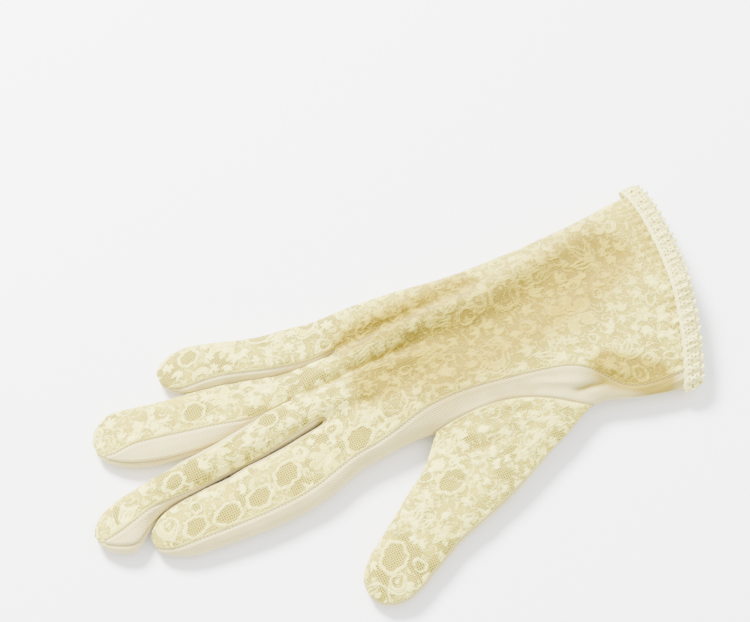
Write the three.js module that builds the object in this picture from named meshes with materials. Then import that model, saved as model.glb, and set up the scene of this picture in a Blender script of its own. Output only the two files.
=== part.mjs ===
// A right-hand lace dress glove, empty, lying on its palm as it was put down.
// It is sewn from eight pieces of thin cloth: a lace back that reaches from the cuff to the four
// fingertips, a plain knitted palm that wraps up over the index side, a folded gusset between each
// pair of fingers, a thumb with a lace top and a plain underside set into a curved opening of the
// palm, and a ruffled lace trim round the cuff.
//
// Millimetres. +X runs from the fingertips to the cuff, +Y to the little finger, +Z up out of the
// back of the hand. "far" is the little finger's side and "near" is the thumb's side.
//
// The glove is first laid out as one closed skin of four-sided cells, open only at the cuff. Each
// cell carries the name of the cloth piece it belongs to. Every piece is then cut out of the skin
// along the seams, kept a seam's gap from its neighbours, and thickened inwards to its wall.

import * as THREE from "three";

// Cloth
const WALL = 1.0; // thickness of the lace and of the knitted cloth
const SEAM_GAP = 0.4; // clear distance between two pieces along a seam
const THUMB_SEAM_GAP = 0.8; // the same round the thumb's opening, where the cloth folds sharply
const FINGER_GAP = 1.2; // air between two fingers that lie side by side

// Fingers: how far each tip lies beyond the knuckle line, and how wide each finger lies
const LITTLE_REACH = 51.5;
const RING_REACH = 82;
const MIDDLE_REACH = 94;
const INDEX_REACH = 77;
const LITTLE_WIDTH = 18;
const RING_WIDTH = 24;
const MIDDLE_WIDTH = 16;
const INDEX_WIDTH = 26;
const LITTLE_HEIGHT = 9.5;
const RING_HEIGHT = 9;
const MIDDLE_HEIGHT = 12.5;
const INDEX_HEIGHT = 10;
const FINGER_SPREAD = 10; // how far the ring and middle fingertips lie apart
const MIDDLE_LEAN = 5.8; // degrees that the middle finger's far side leans to the thumb's side
const TIP_ROUND = 13; // length of the rounded end of a finger

// Crotches: how far each one lies from the knuckle line, towards the cuff
const OUTER_CROTCH = 17; // far side of the little finger, where the hand begins
const LITTLE_RING_CROTCH = 9;
const RING_MIDDLE_CROTCH = -15;
const MIDDLE_INDEX_CROTCH = -6;
const INNER_CROTCH = 1; // near side of the index finger, where the hand begins
const MIDDLE_LINE = 11; // how far the far side of the middle finger lies from the X axis

// Hand and cuff
const HAND_LENGTH = 118; // knuckles to hem, along the middle
const PALM_WIDTH = 58;
const WRIST_WIDTH = 67;
const CUFF_WIDTH = 83;
const HAND_HEIGHT = 15;
const CUFF_HEIGHT = 12.5;
const HAND_DRIFT = 12; // how far the middle of the cuff lies to the thumb's side of the knuckles
const CUFF_SLANT = 22; // how much further the hem reaches on the far side
const CUFF_BOW = 6; // how far the middle of the hem bows out

// Thumb
const THUMB_SEAT = 26; // inner crotch of the index finger to the thumb's crotch
const THUMB_MOUTH = 61; // length of the opening in the palm that the thumb is set into
const THUMB_LENGTH = 83; // middle of that opening to the thumb's tip
const THUMB_WIDTH = 27;
const THUMB_HEIGHT = 9.5;
const THUMB_ANGLE = 28; // degrees between the thumb and the hand's length
const THUMB_TIP_ROUND = 15;

// Trim
const TRIM_WIDTH = 7.5;
const TRIM_RUFFLES = 31;
const TRIM_RUFFLE_DEPTH = 1.3; // how far a ruffle stands to each side
const TRIM_SCALLOP = 1.2; // how far each ruffle's edge bulges
const TRIM_EYELET = 0.34; // share of a ruffle's length that its eyelet takes

// Counts of cells in the skin
const TOP_CELLS = 5; // across the top, and again across the bottom, of a finger
const FINGER_ROWS = 9;
const TIP_ROWS = 4;
const PALM_ROWS = 4; // knuckles to the thumb's opening
const MOUTH_ROWS = 8; // along the thumb's opening
const WRIST_ROWS = 6; // the thumb's opening to the hem
const THUMB_ROWS = 8;

const ROUNDNESS = 2.4; // 2 makes the cross-sections ellipses, more makes them squarer
const TIP_BEND = 1.36; // radians that a tip's rounding turns through before its end is closed
const SIDE_ANGLE = 0.55; // radians that a finger's gusset reaches up and down from its side
const GUSSET_TAPER = 0.75; // share of a finger's length where its gussets begin to taper
const TAPERED_ANGLE = 0.1; // the same where the gusset ends near the tip

// Shares of each finger's named width and height along its reach, chosen by eye. "at" runs from the
// knuckle line, 0, to the tip, 1. "roll" turns the seams round the finger, in degrees, so that the
// gusset on its near side shows from above.
const FINGERS = [
  {
    name: "little", reach: LITTLE_REACH, width: LITTLE_WIDTH, height: LITTLE_HEIGHT,
    rows: [
      { at: -0.35, width: 0.84, height: 1.1, roll: 0 },
      { at: 0.0, width: 0.96, height: 1.05, roll: 4 },
      { at: 0.4, width: 1.0, height: 1.0, roll: 14 },
      { at: 0.8, width: 1.04, height: 0.94, roll: 16 },
      { at: 1.0, width: 1.04, height: 0.86, roll: 12 },
    ],
  },
  {
    name: "ring", reach: RING_REACH, width: RING_WIDTH, height: RING_HEIGHT,
    rows: [
      { at: -0.1, width: 0.36, height: 1.2, roll: 0 },
      { at: 0.15, width: 0.51, height: 1.15, roll: 6 },
      { at: 0.4, width: 0.84, height: 1.05, roll: 30 },
      { at: 0.65, width: 1.0, height: 1.0, roll: 44 },
      { at: 0.88, width: 1.0, height: 0.95, roll: 46 },
      { at: 1.0, width: 0.96, height: 0.85, roll: 40 },
    ],
  },
  {
    name: "middle", reach: MIDDLE_REACH, width: MIDDLE_WIDTH, height: MIDDLE_HEIGHT,
    rows: [
      { at: 0.0, width: 0.78, height: 1.0, roll: 0 },
      { at: 0.2, width: 0.82, height: 1.0, roll: -12 },
      { at: 0.5, width: 0.78, height: 0.92, roll: -10 },
      { at: 0.7, width: 0.76, height: 0.84, roll: 11 },
      { at: 0.79, width: 0.8, height: 0.8, roll: 29 },
      { at: 0.82, width: 0.98, height: 0.77, roll: 39 },
      { at: 0.86, width: 1.3, height: 0.75, roll: 54 },
      { at: 0.93, width: 1.28, height: 0.72, roll: 60 },
      { at: 1.0, width: 1.15, height: 0.68, roll: 58 },
    ],
  },
  {
    name: "index", reach: INDEX_REACH, width: INDEX_WIDTH, height: INDEX_HEIGHT,
    rows: [
      { at: 0.0, width: 0.88, height: 1.12, roll: 0 },
      { at: 0.25, width: 1.0, height: 1.06, roll: 0 },
      { at: 0.55, width: 0.95, height: 1.0, roll: 0 },
      { at: 0.8, width: 0.81, height: 0.94, roll: 0 },
      { at: 1.0, width: 0.68, height: 0.88, roll: 0 },
    ],
  },
];
const CROTCHES = [
  OUTER_CROTCH,
  LITTLE_RING_CROTCH,
  RING_MIDDLE_CROTCH,
  MIDDLE_INDEX_CROTCH,
  INNER_CROTCH,
];

// How far the ring and middle fingers have parted, as a share of FINGER_SPREAD.
const PARTING = [
  { at: 0.0, parted: 0 },
  { at: 0.55, parted: 0.02 },
  { at: 0.72, parted: 0.28 },
  { at: 0.88, parted: 0.74 },
  { at: 1.0, parted: 1 },
];

// The hand from the knuckles, 0, to the hem, 1. Widths are shares of the named width that rules
// there: the knuckles' own, the palm's, the wrist's and the cuff's. "seam" is where the lace meets
// the palm on the near side, from -1 at the far edge to 1 at the near edge, on top; "under" is
// where it meets the palm underneath the far side.
const HAND = [
  {
    at: 0.0, knuckles: 1, palm: 0, wrist: 0, cuff: 0,
    drift: 0.0, height: 0.84, seam: 0.76, under: -0.93,
  },
  {
    at: 0.1, knuckles: 0.35, palm: 0.65, wrist: 0, cuff: 0,
    drift: 0.0, height: 0.93, seam: 0.77, under: -0.92,
  },
  {
    at: 0.24, knuckles: 0, palm: 1, wrist: 0, cuff: 0,
    drift: 0.12, height: 1.0, seam: 0.64, under: -0.9,
  },
  {
    at: 0.45, knuckles: 0, palm: 0.5, wrist: 0.5, cuff: 0,
    drift: 0.5, height: 1.0, seam: 0.58, under: -0.88,
  },
  {
    at: 0.7, knuckles: 0, palm: 0, wrist: 0.85, cuff: 0.15,
    drift: 0.75, height: 0.95, seam: 0.62, under: -0.82,
  },
  {
    at: 0.82, knuckles: 0, palm: 0, wrist: 0.5, cuff: 0.5,
    drift: 0.87, height: 0.92, seam: 0.9, under: -0.78,
  },
  {
    at: 1.0, knuckles: 0, palm: 0, wrist: 0, cuff: 1,
    drift: 1.0, height: 0.86, seam: 0.86, under: -0.72,
  },
];

// Folds and dents in the back of the hand. Each runs from one place to another; "along" is the
// share of the hand's length and "across" goes from -1, far, to 1, near. "rise" is a share of the
// hand's height and "wide" a share of the palm's width.
const FOLDS = [
  {
    name: "long ridge, lower", along: 0.0, across: -0.14, toAlong: 0.36, toAcross: -0.46,
    rise: 0.22, wide: 0.075,
  },
  {
    name: "long ridge, upper", along: 0.36, across: -0.46, toAlong: 0.84, toAcross: -0.8,
    rise: 0.17, wide: 0.09,
  },
  {
    name: "long valley, lower", along: 0.0, across: 0.14, toAlong: 0.24, toAcross: 0.16,
    rise: -0.28, wide: 0.075,
  },
  {
    name: "long valley, upper", along: 0.24, across: 0.16, toAlong: 0.86, toAcross: -0.4,
    rise: -0.2, wide: 0.15,
  },
  {
    name: "little finger valley", along: 0.0, across: -0.44, toAlong: 0.44, toAcross: -0.7,
    rise: -0.22, wide: 0.06,
  },
  {
    name: "index plateau", along: 0.05, across: 0.5, toAlong: 0.55, toAcross: 0.42,
    rise: 0.07, wide: 0.12,
  },
  {
    name: "wrist tuck", along: 0.73, across: 0.78, toAlong: 0.83, toAcross: 0.93,
    rise: -0.3, wide: 0.06,
  },
  {
    name: "wrist roll", along: 0.66, across: 0.6, toAlong: 0.8, toAcross: 0.7,
    rise: 0.16, wide: 0.06,
  },
  {
    name: "cuff wave", along: 0.9, across: 0.1, toAlong: 1.0, toAcross: 0.12,
    rise: 0.08, wide: 0.12,
  },
];

// The thumb from its opening, 0, to the start of its rounded tip, 1. "shift" moves the middle of
// the section to the outer side, as a share of the thumb's width. "turn" is how far the section has
// turned from the line of the opening to square across the thumb.
const THUMB = [
  { at: 0.0, width: 2.1, height: 1.2, shift: 0.0, turn: 0.0 },
  { at: 0.2, width: 1.54, height: 1.14, shift: -0.04, turn: 0.4 },
  { at: 0.45, width: 1.16, height: 1.05, shift: -0.02, turn: 0.85 },
  { at: 0.7, width: 0.93, height: 1.0, shift: -0.07, turn: 1.0 },
  { at: 1.0, width: 0.82, height: 0.92, shift: -0.05, turn: 1.0 },
];
const MOUTH_RISE = 0.72; // radians that the thumb's opening reaches up and down from the side
const THUMB_SEAM_TURN = 0.3; // radians that the thumb's plain underside shows at its outer edge
const CROTCH_REACH = 0.42; // share of the hand over which the shape of the knuckles fades out

const radians = (degrees) => (degrees * Math.PI) / 180;
const mix = (a, b, t) => a + (b - a) * t;
const clamp = (value, low, high) => Math.min(high, Math.max(low, value));
const ease = (t) => clamp(t, 0, 1) ** 2 * (3 - 2 * clamp(t, 0, 1));
const signedPower = (value, power) => Math.sign(value) * Math.abs(value) ** power;

// A smooth value of one column of a table at a place between its rows.
function along(table, column, at) {
  let i = 0;
  while (i < table.length - 2 && at > table[i + 1].at) i++;
  const before = table[Math.max(i - 1, 0)];
  const [from, to] = [table[i], table[i + 1]];
  const after = table[Math.min(i + 2, table.length - 1)];
  const span = to.at - from.at;
  const t = clamp((at - from.at) / span, 0, 1);
  const slope = (a, b) => (b.at === a.at ? 0 : ((b[column] - a[column]) / (b.at - a.at)) * span);
  const m0 = before === from ? 0 : slope(before, to);
  const m1 = after === to ? 0 : slope(from, after);
  const [t2, t3] = [t * t, t * t * t];
  return (
    (2 * t3 - 3 * t2 + 1) * from[column] + (t3 - 2 * t2 + t) * m0 +
    (3 * t2 - 2 * t3) * to[column] + (t3 - t2) * m1
  );
}

// A point of a cross-section: how far across, from -1 to 1, and how far up, from 0 to 1. The angle
// is 0 at the far edge, a quarter turn on top and half a turn at the near edge.
function section(angle) {
  const across = -signedPower(Math.cos(angle), 2 / ROUNDNESS);
  const lift = signedPower(Math.sin(angle), 2 / ROUNDNESS);
  const FLATTENED = 1.1; // the underside is pressed flat where it rests
  return { across, up: (1 + (lift < 0 ? Math.max(-1, lift * FLATTENED) : lift)) / 2 };
}
const angleOnTop = (across) => Math.acos(-signedPower(across, ROUNDNESS / 2));
const angleBelow = (across) => 2 * Math.PI - angleOnTop(across);

// The skin: points, and cells that list their corners counter-clockwise seen from outside.
const points = [];
const cells = [];
const addPoint = (p) => points.push(p) - 1;
function addCell(piece, ...corners) {
  const kept = corners.filter((c, i) => i === 0 || (c !== corners[i - 1] && c !== corners[0]));
  cells.push({ piece, corners: kept });
}

// Fingers. Their sides are stacked: each finger starts a finger's gap beyond the one before it, so
// that a wider finger moves its neighbours.
const share = (finger, x) => -x / finger.reach;
const BESIDE_SHARE = 0.93; // how far along the index finger it still follows the middle finger
const widthOf = (finger, x) => finger.width * along(finger.rows, "width", share(finger, x));
const middleFar = (x) =>
  MIDDLE_LINE + (x - RING_MIDDLE_CROTCH) * Math.tan(radians(MIDDLE_LEAN));
const parting = (x) => FINGER_GAP + FINGER_SPREAD * along(PARTING, "parted", share(FINGERS[1], x));
function sides(i, x) {
  const [little, ring, middle, index] = FINGERS;
  const ringNear = middleFar(x) + parting(x);
  const ringFar = ringNear + widthOf(ring, x);
  const besideIndex = Math.max(x, -index.reach * BESIDE_SHARE);
  if (i === 0) return { far: ringFar + FINGER_GAP + widthOf(little, x), near: ringFar + FINGER_GAP };
  if (i === 1) return { far: ringFar, near: ringNear };
  if (i === 2) return { far: middleFar(x), near: middleFar(x) - widthOf(middle, x) };
  const indexFar = middleFar(besideIndex) - widthOf(middle, besideIndex) - FINGER_GAP;
  return { far: indexFar, near: indexFar - widthOf(index, x) };
}

// The angles of a finger's columns: the far side's middle, the top from far to near, the near
// side's middle and the bottom from near to far. Towards the tip the sides' gussets taper.
const fingerAngles = (place) => {
  const side = mix(SIDE_ANGLE, TAPERED_ANGLE, ease((place - GUSSET_TAPER) / (1.8 - GUSSET_TAPER)));
  const step = (k) => mix(side, Math.PI - side, k / TOP_CELLS);
  const half = Array.from({ length: TOP_CELLS + 1 }, (_, k) => step(k));
  return [0, ...half, Math.PI, ...half.map((angle) => angle + Math.PI)];
};
const FAR = 0;
const TOP = 1;
const TOP_END = TOP + TOP_CELLS;
const NEAR = TOP_END + 1;
const LOW = NEAR + 1;
const LOW_END = LOW + TOP_CELLS;

// A point of finger i. Row 0 is its base and FINGER_ROWS is where its tip begins to round.
function fingerPoint(i, place, angle) {
  const finger = FINGERS[i];
  const tipStart = -finger.reach + TIP_ROUND;
  const farX = mix(CROTCHES[i], tipStart, Math.min(place, 1));
  const nearX = mix(CROTCHES[i + 1], tipStart, Math.min(place, 1));
  const bend = Math.max(place - 1, 0) * TIP_BEND;
  const reach = Math.sin(bend) * TIP_ROUND;
  const narrow = Math.cos(bend) ** (2 / ROUNDNESS);
  const far = new THREE.Vector2(farX - reach, sides(i, farX - reach).far);
  const near = new THREE.Vector2(nearX - reach, sides(i, nearX - reach).near);
  const centre = far.clone().add(near).multiplyScalar(0.5);
  const half = near.clone().sub(far).multiplyScalar(0.5 * narrow);
  const at = share(finger, centre.x);
  const roll = radians(along(finger.rows, "roll", at)) * ease(place / 0.5);
  const { across, up } = section(angle - roll);
  const height = finger.height * along(finger.rows, "height", at) * Math.max(narrow, 0.3);
  const floor = (finger.height * along(finger.rows, "height", at) - height) * 0.45;
  return new THREE.Vector3(centre.x + half.x * across, centre.y + half.y * across, floor + height * up);
}

const fingerPiece = (i, column) => {
  const onTop = column >= TOP && column < TOP_END;
  const below = column >= LOW && column < LOW_END;
  if (i === 3 && (column === TOP_END - 1 || column === TOP_END || column === NEAR)) return "palm_jersey";
  if (onTop) return "back_lace";
  if (below) return "palm_jersey";
  const nearSide = column === TOP_END || column === NEAR;
  if (i === 0 && !nearSide) return "back_lace";
  return GUSSETS[nearSide ? i : i - 1];
};
const GUSSETS = ["gusset_little_ring", "gusset_ring_middle", "gusset_middle_index"];

function addFinger(i) {
  const rings = [];
  for (let row = 0; row <= FINGER_ROWS + TIP_ROWS; row++) {
    const place = row <= FINGER_ROWS ? row / FINGER_ROWS : 1 + (row - FINGER_ROWS) / TIP_ROWS;
    rings.push(fingerAngles(place).map((angle) => addPoint(fingerPoint(i, place, angle))));
  }
  const count = LOW_END + 1;
  for (let row = 0; row < rings.length - 1; row++)
    for (let k = 0; k < count; k++) {
      const next = (k + 1) % count;
      // The gussets run out to a point at the tip, where the lace meets the palm.
      let piece = fingerPiece(i, k);
      if (row >= FINGER_ROWS + TIP_ROWS - 1 && piece.startsWith("gusset"))
        piece = k === FAR || k === TOP_END ? "back_lace" : "palm_jersey";
      addCell(piece, rings[row][k], rings[row + 1][k], rings[row + 1][next], rings[row][next]);
    }
  const last = rings[rings.length - 1];
  const middle = [last[FAR]];
  for (let k = 1; k < TOP_CELLS; k++) {
    const [top, low] = [points[last[TOP + k]], points[last[LOW_END - k]]];
    const tip = top.clone().add(low).multiplyScalar(0.5);
    tip.x -= TIP_ROUND * (1 - Math.sin(TIP_BEND));
    middle.push(addPoint(tip));
  }
  middle.push(last[NEAR]);
  for (let k = 0; k < TOP_CELLS; k++) {
    const piece = i === 3 && k === TOP_CELLS - 1 ? "palm_jersey" : "back_lace";
    addCell(piece, last[TOP + k], middle[k], middle[k + 1], last[TOP + k + 1]);
    addCell("palm_jersey", last[LOW_END - k], last[LOW_END - k - 1], middle[k + 1], middle[k]);
  }
  return rings[0];
}

// Hand. Its columns go once round: the knuckle row is made of the bases of the four fingers.
const bases = FINGERS.map((_, i) => addFinger(i));
for (let i = 0; i < GUSSETS.length; i++) {
  const [a, b] = [bases[i], bases[i + 1]];
  addCell(GUSSETS[i], a[TOP_END], a[NEAR], b[FAR], b[TOP]);
  addCell(GUSSETS[i], a[NEAR], a[LOW], b[LOW_END], b[FAR]);
}

const knuckleFar = points[bases[0][FAR]];
const knuckleNear = points[bases[3][NEAR]];
const knuckleWidth = knuckleFar.y - knuckleNear.y;
const knuckleCentre = (knuckleFar.y + knuckleNear.y) / 2;
const knuckleSlant = knuckleFar.x - knuckleNear.x;
const knuckleX = (knuckleFar.x + knuckleNear.x) / 2;

// The middle, half-width and height of the hand at a share of its length.
function station(at) {
  const width =
    knuckleWidth * along(HAND, "knuckles", at) + PALM_WIDTH * along(HAND, "palm", at) +
    WRIST_WIDTH * along(HAND, "wrist", at) + CUFF_WIDTH * along(HAND, "cuff", at);
  const slant = mix(knuckleSlant, CUFF_SLANT, at);
  return {
    x: knuckleX + HAND_LENGTH * at,
    y: knuckleCentre - HAND_DRIFT * along(HAND, "drift", at),
    half: new THREE.Vector2(-slant / 2, -width / 2),
    height: mix(HAND_HEIGHT * along(HAND, "height", at), CUFF_HEIGHT, ease((at - 0.7) / 0.3)),
    bow: CUFF_BOW * ease((at - 0.6) / 0.4),
  };
}

function foldRise(at, across) {
  let [ridge, valley] = [0, 0];
  const sideways = -station(at).half.y;
  const here = new THREE.Vector2(HAND_LENGTH * at, sideways * across);
  for (const fold of FOLDS) {
    const from = new THREE.Vector2(HAND_LENGTH * fold.along, sideways * fold.across);
    const to = new THREE.Vector2(HAND_LENGTH * fold.toAlong, sideways * fold.toAcross);
    const run = to.clone().sub(from);
    const t = clamp(here.clone().sub(from).dot(run) / run.lengthSq(), 0, 1);
    const distance = here.distanceTo(from.add(run.multiplyScalar(t)));
    const rise = HAND_HEIGHT * fold.rise * Math.exp(-((distance / (PALM_WIDTH * fold.wide)) ** 2));
    ridge = Math.max(ridge, rise);
    valley = Math.min(valley, rise);
  }
  return (ridge + valley) * (1 - across ** 4);
}

function handPoint(at, angle) {
  const s = station(at);
  const { across, up } = section(angle);
  const onTop = Math.sin(angle) > 0 ? 1 : 0;
  return new THREE.Vector3(
    s.x + s.half.x * across + s.bow * (1 - across * across),
    s.y + s.half.y * across,
    s.height * up + onTop * foldRise(at, across) * ease(up * 2 - 1),
  );
}

// The columns of the hand, in order: where each one stands in the knuckle row, and its angle at a
// share of the hand's length.
const CORNER = 0.9; // how far across the top and bottom begin at the hand's two edges
const mouthFrom = THUMB_SEAT / HAND_LENGTH;
const mouthTo = (THUMB_SEAT + THUMB_MOUTH) / HAND_LENGTH;
const mouthRise = (at) => {
  const t = clamp((at - mouthFrom) / (mouthTo - mouthFrom), 0, 1);
  return MOUTH_RISE * Math.sin(Math.PI * t) ** 0.8;
};
const lastTop = FINGERS.length * (TOP_CELLS + 1) - 2; // the lace ends one cell before the near edge
const columns = [];
columns.push({ base: bases[0][FAR], angle: () => 0, piece: "back_lace" });
FINGERS.forEach((_, i) => {
  for (let k = 0; k <= TOP_CELLS; k++) {
    const order = i * (TOP_CELLS + 1) + k;
    const onStrip = order > lastTop;
    columns.push({
      base: bases[i][TOP + k],
      angle: (at) => {
        const seam = along(HAND, "seam", at);
        if (onStrip) return mix(angleOnTop(seam), Math.PI - mouthRise(at), 0.5);
        return angleOnTop(mix(-CORNER, seam, order / lastTop));
      },
      piece: order >= lastTop ? "palm_jersey" : "back_lace",
    });
  }
});
const upperLip = columns.length;
columns.push({
  base: bases[3][NEAR],
  angle: (at) => Math.PI - mouthRise(at),
  piece: "palm_jersey",
});
FINGERS.map((_, i) => 3 - i).forEach((i) => {
  for (let k = 0; k <= TOP_CELLS; k++) {
    const order = (3 - i) * (TOP_CELLS + 1) + k;
    columns.push({
      base: bases[i][LOW + k],
      angle: (at) => {
        const start = mix(angleBelow(CORNER), Math.PI + mouthRise(at) * 1.25, mouthRise(at) / MOUTH_RISE);
        const from = section(Math.max(start, angleBelow(CORNER))).across;
        return angleBelow(mix(from, along(HAND, "under", at), order / (lastTop + 1)));
      },
      piece: order === lastTop + 1 ? "back_lace" : "palm_jersey",
    });
  }
});

const stations = [];
for (let row = 1; row <= PALM_ROWS; row++) stations.push((mouthFrom * row) / PALM_ROWS);
for (let row = 1; row <= MOUTH_ROWS; row++) stations.push(mix(mouthFrom, mouthTo, row / MOUTH_ROWS));
for (let row = 1; row <= WRIST_ROWS; row++) stations.push(mix(mouthTo, 1, row / WRIST_ROWS));

// The knuckle row differs from a plain oval by the arches of the fingers and by its crotches. That
// difference fades out along the hand.
const arch = columns.map((c) => points[c.base].clone().sub(handPoint(0, c.angle(0))));
const handRows = [columns.map((c) => c.base)];
const lowerLip = []; // the underside's edge of the thumb's opening, by row
stations.forEach((at, n) => {
  const fade = 1 - ease(at / CROTCH_REACH);
  const place = (j, angle) => {
    const p = handPoint(at, angle).addScaledVector(arch[j], fade);
    p.z = Math.max(p.z, 0);
    return addPoint(p);
  };
  handRows.push(columns.map((c, j) => place(j, c.angle(at))));
  const inMouth = n + 1 > PALM_ROWS && n + 1 < PALM_ROWS + MOUTH_ROWS;
  lowerLip[n + 1] = inMouth ? place(upperLip, Math.PI + mouthRise(at)) : handRows[n + 1][upperLip];
});
lowerLip[0] = handRows[0][upperLip];

for (let row = 0; row < handRows.length - 1; row++)
  columns.forEach((column, j) => {
    const next = (j + 1) % columns.length;
    const edge = (r) => (j === upperLip ? lowerLip[r] : handRows[r][j]);
    addCell(column.piece, handRows[row][next], handRows[row + 1][next], edge(row + 1), edge(row));
  });

// Thumb. Its first ring is the edge of the opening: over the top from the crotch to the wrist, and
// back underneath. Further rings are ovals along the thumb.
const mouthRowsFrom = PALM_ROWS;
const mouthTop = Array.from({ length: MOUTH_ROWS + 1 }, (_, k) => handRows[mouthRowsFrom + k][upperLip]);
const mouthLow = Array.from({ length: MOUTH_ROWS + 1 }, (_, k) => lowerLip[mouthRowsFrom + k]);
const crotch = points[mouthTop[0]];
const wristEnd = points[mouthTop[MOUTH_ROWS]];
const mouthCentre = crotch.clone().add(wristEnd).multiplyScalar(0.5);
const mouthLine = Math.atan2(wristEnd.y - crotch.y, wristEnd.x - crotch.x);
const thumbHeading = -Math.PI + radians(THUMB_ANGLE);
const squareAcross = thumbHeading + Math.PI / 2;

function thumbPoint(place, angle) {
  const body = THUMB_LENGTH - THUMB_TIP_ROUND;
  const bend = Math.max(place - 1, 0) * TIP_BEND;
  const distance = body * Math.min(place, 1) + Math.sin(bend) * THUMB_TIP_ROUND;
  const at = Math.min(place, 1);
  const narrow = Math.cos(bend) ** (2 / ROUNDNESS);
  const facing = mix(mouthLine, squareAcross, along(THUMB, "turn", at));
  const half = (THUMB_WIDTH / 2) * along(THUMB, "width", at) * narrow;
  const shift = THUMB_WIDTH * along(THUMB, "shift", at);
  const { across, up } = section(angle);
  const fullHeight = THUMB_HEIGHT * along(THUMB, "height", at);
  const height = fullHeight * Math.max(narrow, 0.3);
  return new THREE.Vector3(
    mouthCentre.x + Math.cos(thumbHeading) * distance + Math.cos(facing) * (half * across + shift),
    mouthCentre.y + Math.sin(thumbHeading) * distance + Math.sin(facing) * (half * across + shift),
    (fullHeight - height) * 0.45 + height * up,
  );
}
const thumbAngle = (k, below, turned) => {
  const outer = Math.PI - THUMB_SEAM_TURN * turned;
  const share = k / MOUTH_ROWS;
  return below ? mix(2 * Math.PI, outer, share) : mix(0, outer, share);
};
const thumbRings = [{ top: mouthTop, low: mouthLow }];
for (let row = 1; row <= THUMB_ROWS + TIP_ROWS; row++) {
  const place = row <= THUMB_ROWS ? row / THUMB_ROWS : 1 + (row - THUMB_ROWS) / TIP_ROWS;
  const fade = 1 - ease(place / 0.4);
  const turned = ease(place / 0.4);
  const shape = (k, below, rim) => {
    const p = thumbPoint(place, thumbAngle(k, below, turned));
    const flat = thumbPoint(0, thumbAngle(k, below, 0));
    p.addScaledVector(points[rim].clone().sub(flat), fade);
    p.z = Math.max(p.z, 0);
    return p;
  };
  const top = mouthTop.map((rim, k) => addPoint(shape(k, false, rim)));
  const low = mouthLow.map((rim, k) =>
    k === 0 ? top[0] : k === MOUTH_ROWS ? top[MOUTH_ROWS] : addPoint(shape(k, true, rim)));
  thumbRings.push({ top, low });
}
for (let row = 0; row < thumbRings.length - 1; row++) {
  const [a, b] = [thumbRings[row], thumbRings[row + 1]];
  for (let k = 0; k < MOUTH_ROWS; k++) {
    addCell("thumb_lace", a.top[k + 1], a.top[k], b.top[k], b.top[k + 1]);
    addCell("thumb_jersey", a.low[k], a.low[k + 1], b.low[k + 1], b.low[k]);
  }
}
{
  const { top, low } = thumbRings[thumbRings.length - 1];
  const middle = top.map((corner, k) => {
    if (k === 0 || k === MOUTH_ROWS) return corner;
    const tip = points[corner].clone().add(points[low[k]]).multiplyScalar(0.5);
    tip.x += Math.cos(thumbHeading) * THUMB_TIP_ROUND * (1 - Math.sin(TIP_BEND));
    tip.y += Math.sin(thumbHeading) * THUMB_TIP_ROUND * (1 - Math.sin(TIP_BEND));
    return addPoint(tip);
  });
  for (let k = 0; k < MOUTH_ROWS; k++) {
    addCell("thumb_lace", top[k + 1], top[k], middle[k], middle[k + 1]);
    addCell("thumb_jersey", low[k], low[k + 1], middle[k + 1], middle[k]);
  }
}

// Outward direction of the whole skin at each point, so that two pieces agree along their seam.
function skinNormals(skinPoints, skinCells) {
  const normals = skinPoints.map(() => new THREE.Vector3());
  for (const { corners } of skinCells) {
    const n = corners.length;
    for (let c = 0; c < n; c++) {
      const here = skinPoints[corners[c]];
      const before = skinPoints[corners[(c + n - 1) % n]].clone().sub(here);
      const after = skinPoints[corners[(c + 1) % n]].clone().sub(here);
      const corner = after.clone().cross(before);
      if (corner.lengthSq() === 0) continue;
      normals[corners[c]].addScaledVector(corner.normalize(), after.angleTo(before));
    }
  }
  return normals.map((n) => n.normalize());
}

// Cuts one piece out of the skin and thickens it inwards into a closed solid.
function clothSolid(pieceCells, skinPoints, normals, wall, gapAt, keepsEdge = () => false) {
  const edges = new Map();
  for (const { corners } of pieceCells)
    corners.forEach((a, c) => {
      const b = corners[(c + 1) % corners.length];
      edges.set(`${a},${b}`, [a, b]);
    });
  const rim = [...edges.values()].filter(([a, b]) => !edges.has(`${b},${a}`));
  const inset = new Map();
  for (const [a, b] of rim) {
    if (keepsEdge(a) && keepsEdge(b)) continue;
    const run = skinPoints[b].clone().sub(skinPoints[a]).normalize();
    for (const corner of [a, b]) {
      const inwards = normals[corner].clone().cross(run).normalize();
      if (!inset.has(corner)) inset.set(corner, []);
      inset.get(corner).push(inwards);
    }
  }
  const moved = (corner) => {
    const p = skinPoints[corner].clone();
    const directions = inset.get(corner);
    if (!directions) return p;
    const sum = directions.reduce((s, d) => s.add(d), new THREE.Vector3());
    const length = sum.length() / directions.length; // under 1 where the edge turns a corner
    return p.addScaledVector(sum.normalize(), gapAt(corner) / 2 / Math.max(length, 0.5));
  };
  const used = [...new Set(pieceCells.flatMap((cell) => cell.corners))];
  const outer = new Map(used.map((corner, n) => [corner, n]));
  const position = [];
  for (const corner of used) position.push(...moved(corner).toArray());
  for (const corner of used) {
    const inside = moved(corner).addScaledVector(normals[corner], -wall);
    position.push(...inside.toArray());
  }
  const inner = (corner) => outer.get(corner) + used.length;
  const index = [];
  for (const { corners } of pieceCells)
    for (let c = 1; c < corners.length - 1; c++) {
      index.push(outer.get(corners[0]), outer.get(corners[c]), outer.get(corners[c + 1]));
      index.push(inner(corners[0]), inner(corners[c + 1]), inner(corners[c]));
    }
  for (const [a, b] of rim) {
    index.push(outer.get(b), outer.get(a), inner(a));
    index.push(outer.get(b), inner(a), inner(b));
  }
  const geometry = new THREE.BufferGeometry();
  geometry.setAttribute("position", new THREE.Float32BufferAttribute(position, 3));
  geometry.setIndex(index);
  geometry.computeVertexNormals();
  return geometry;
}

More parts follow.
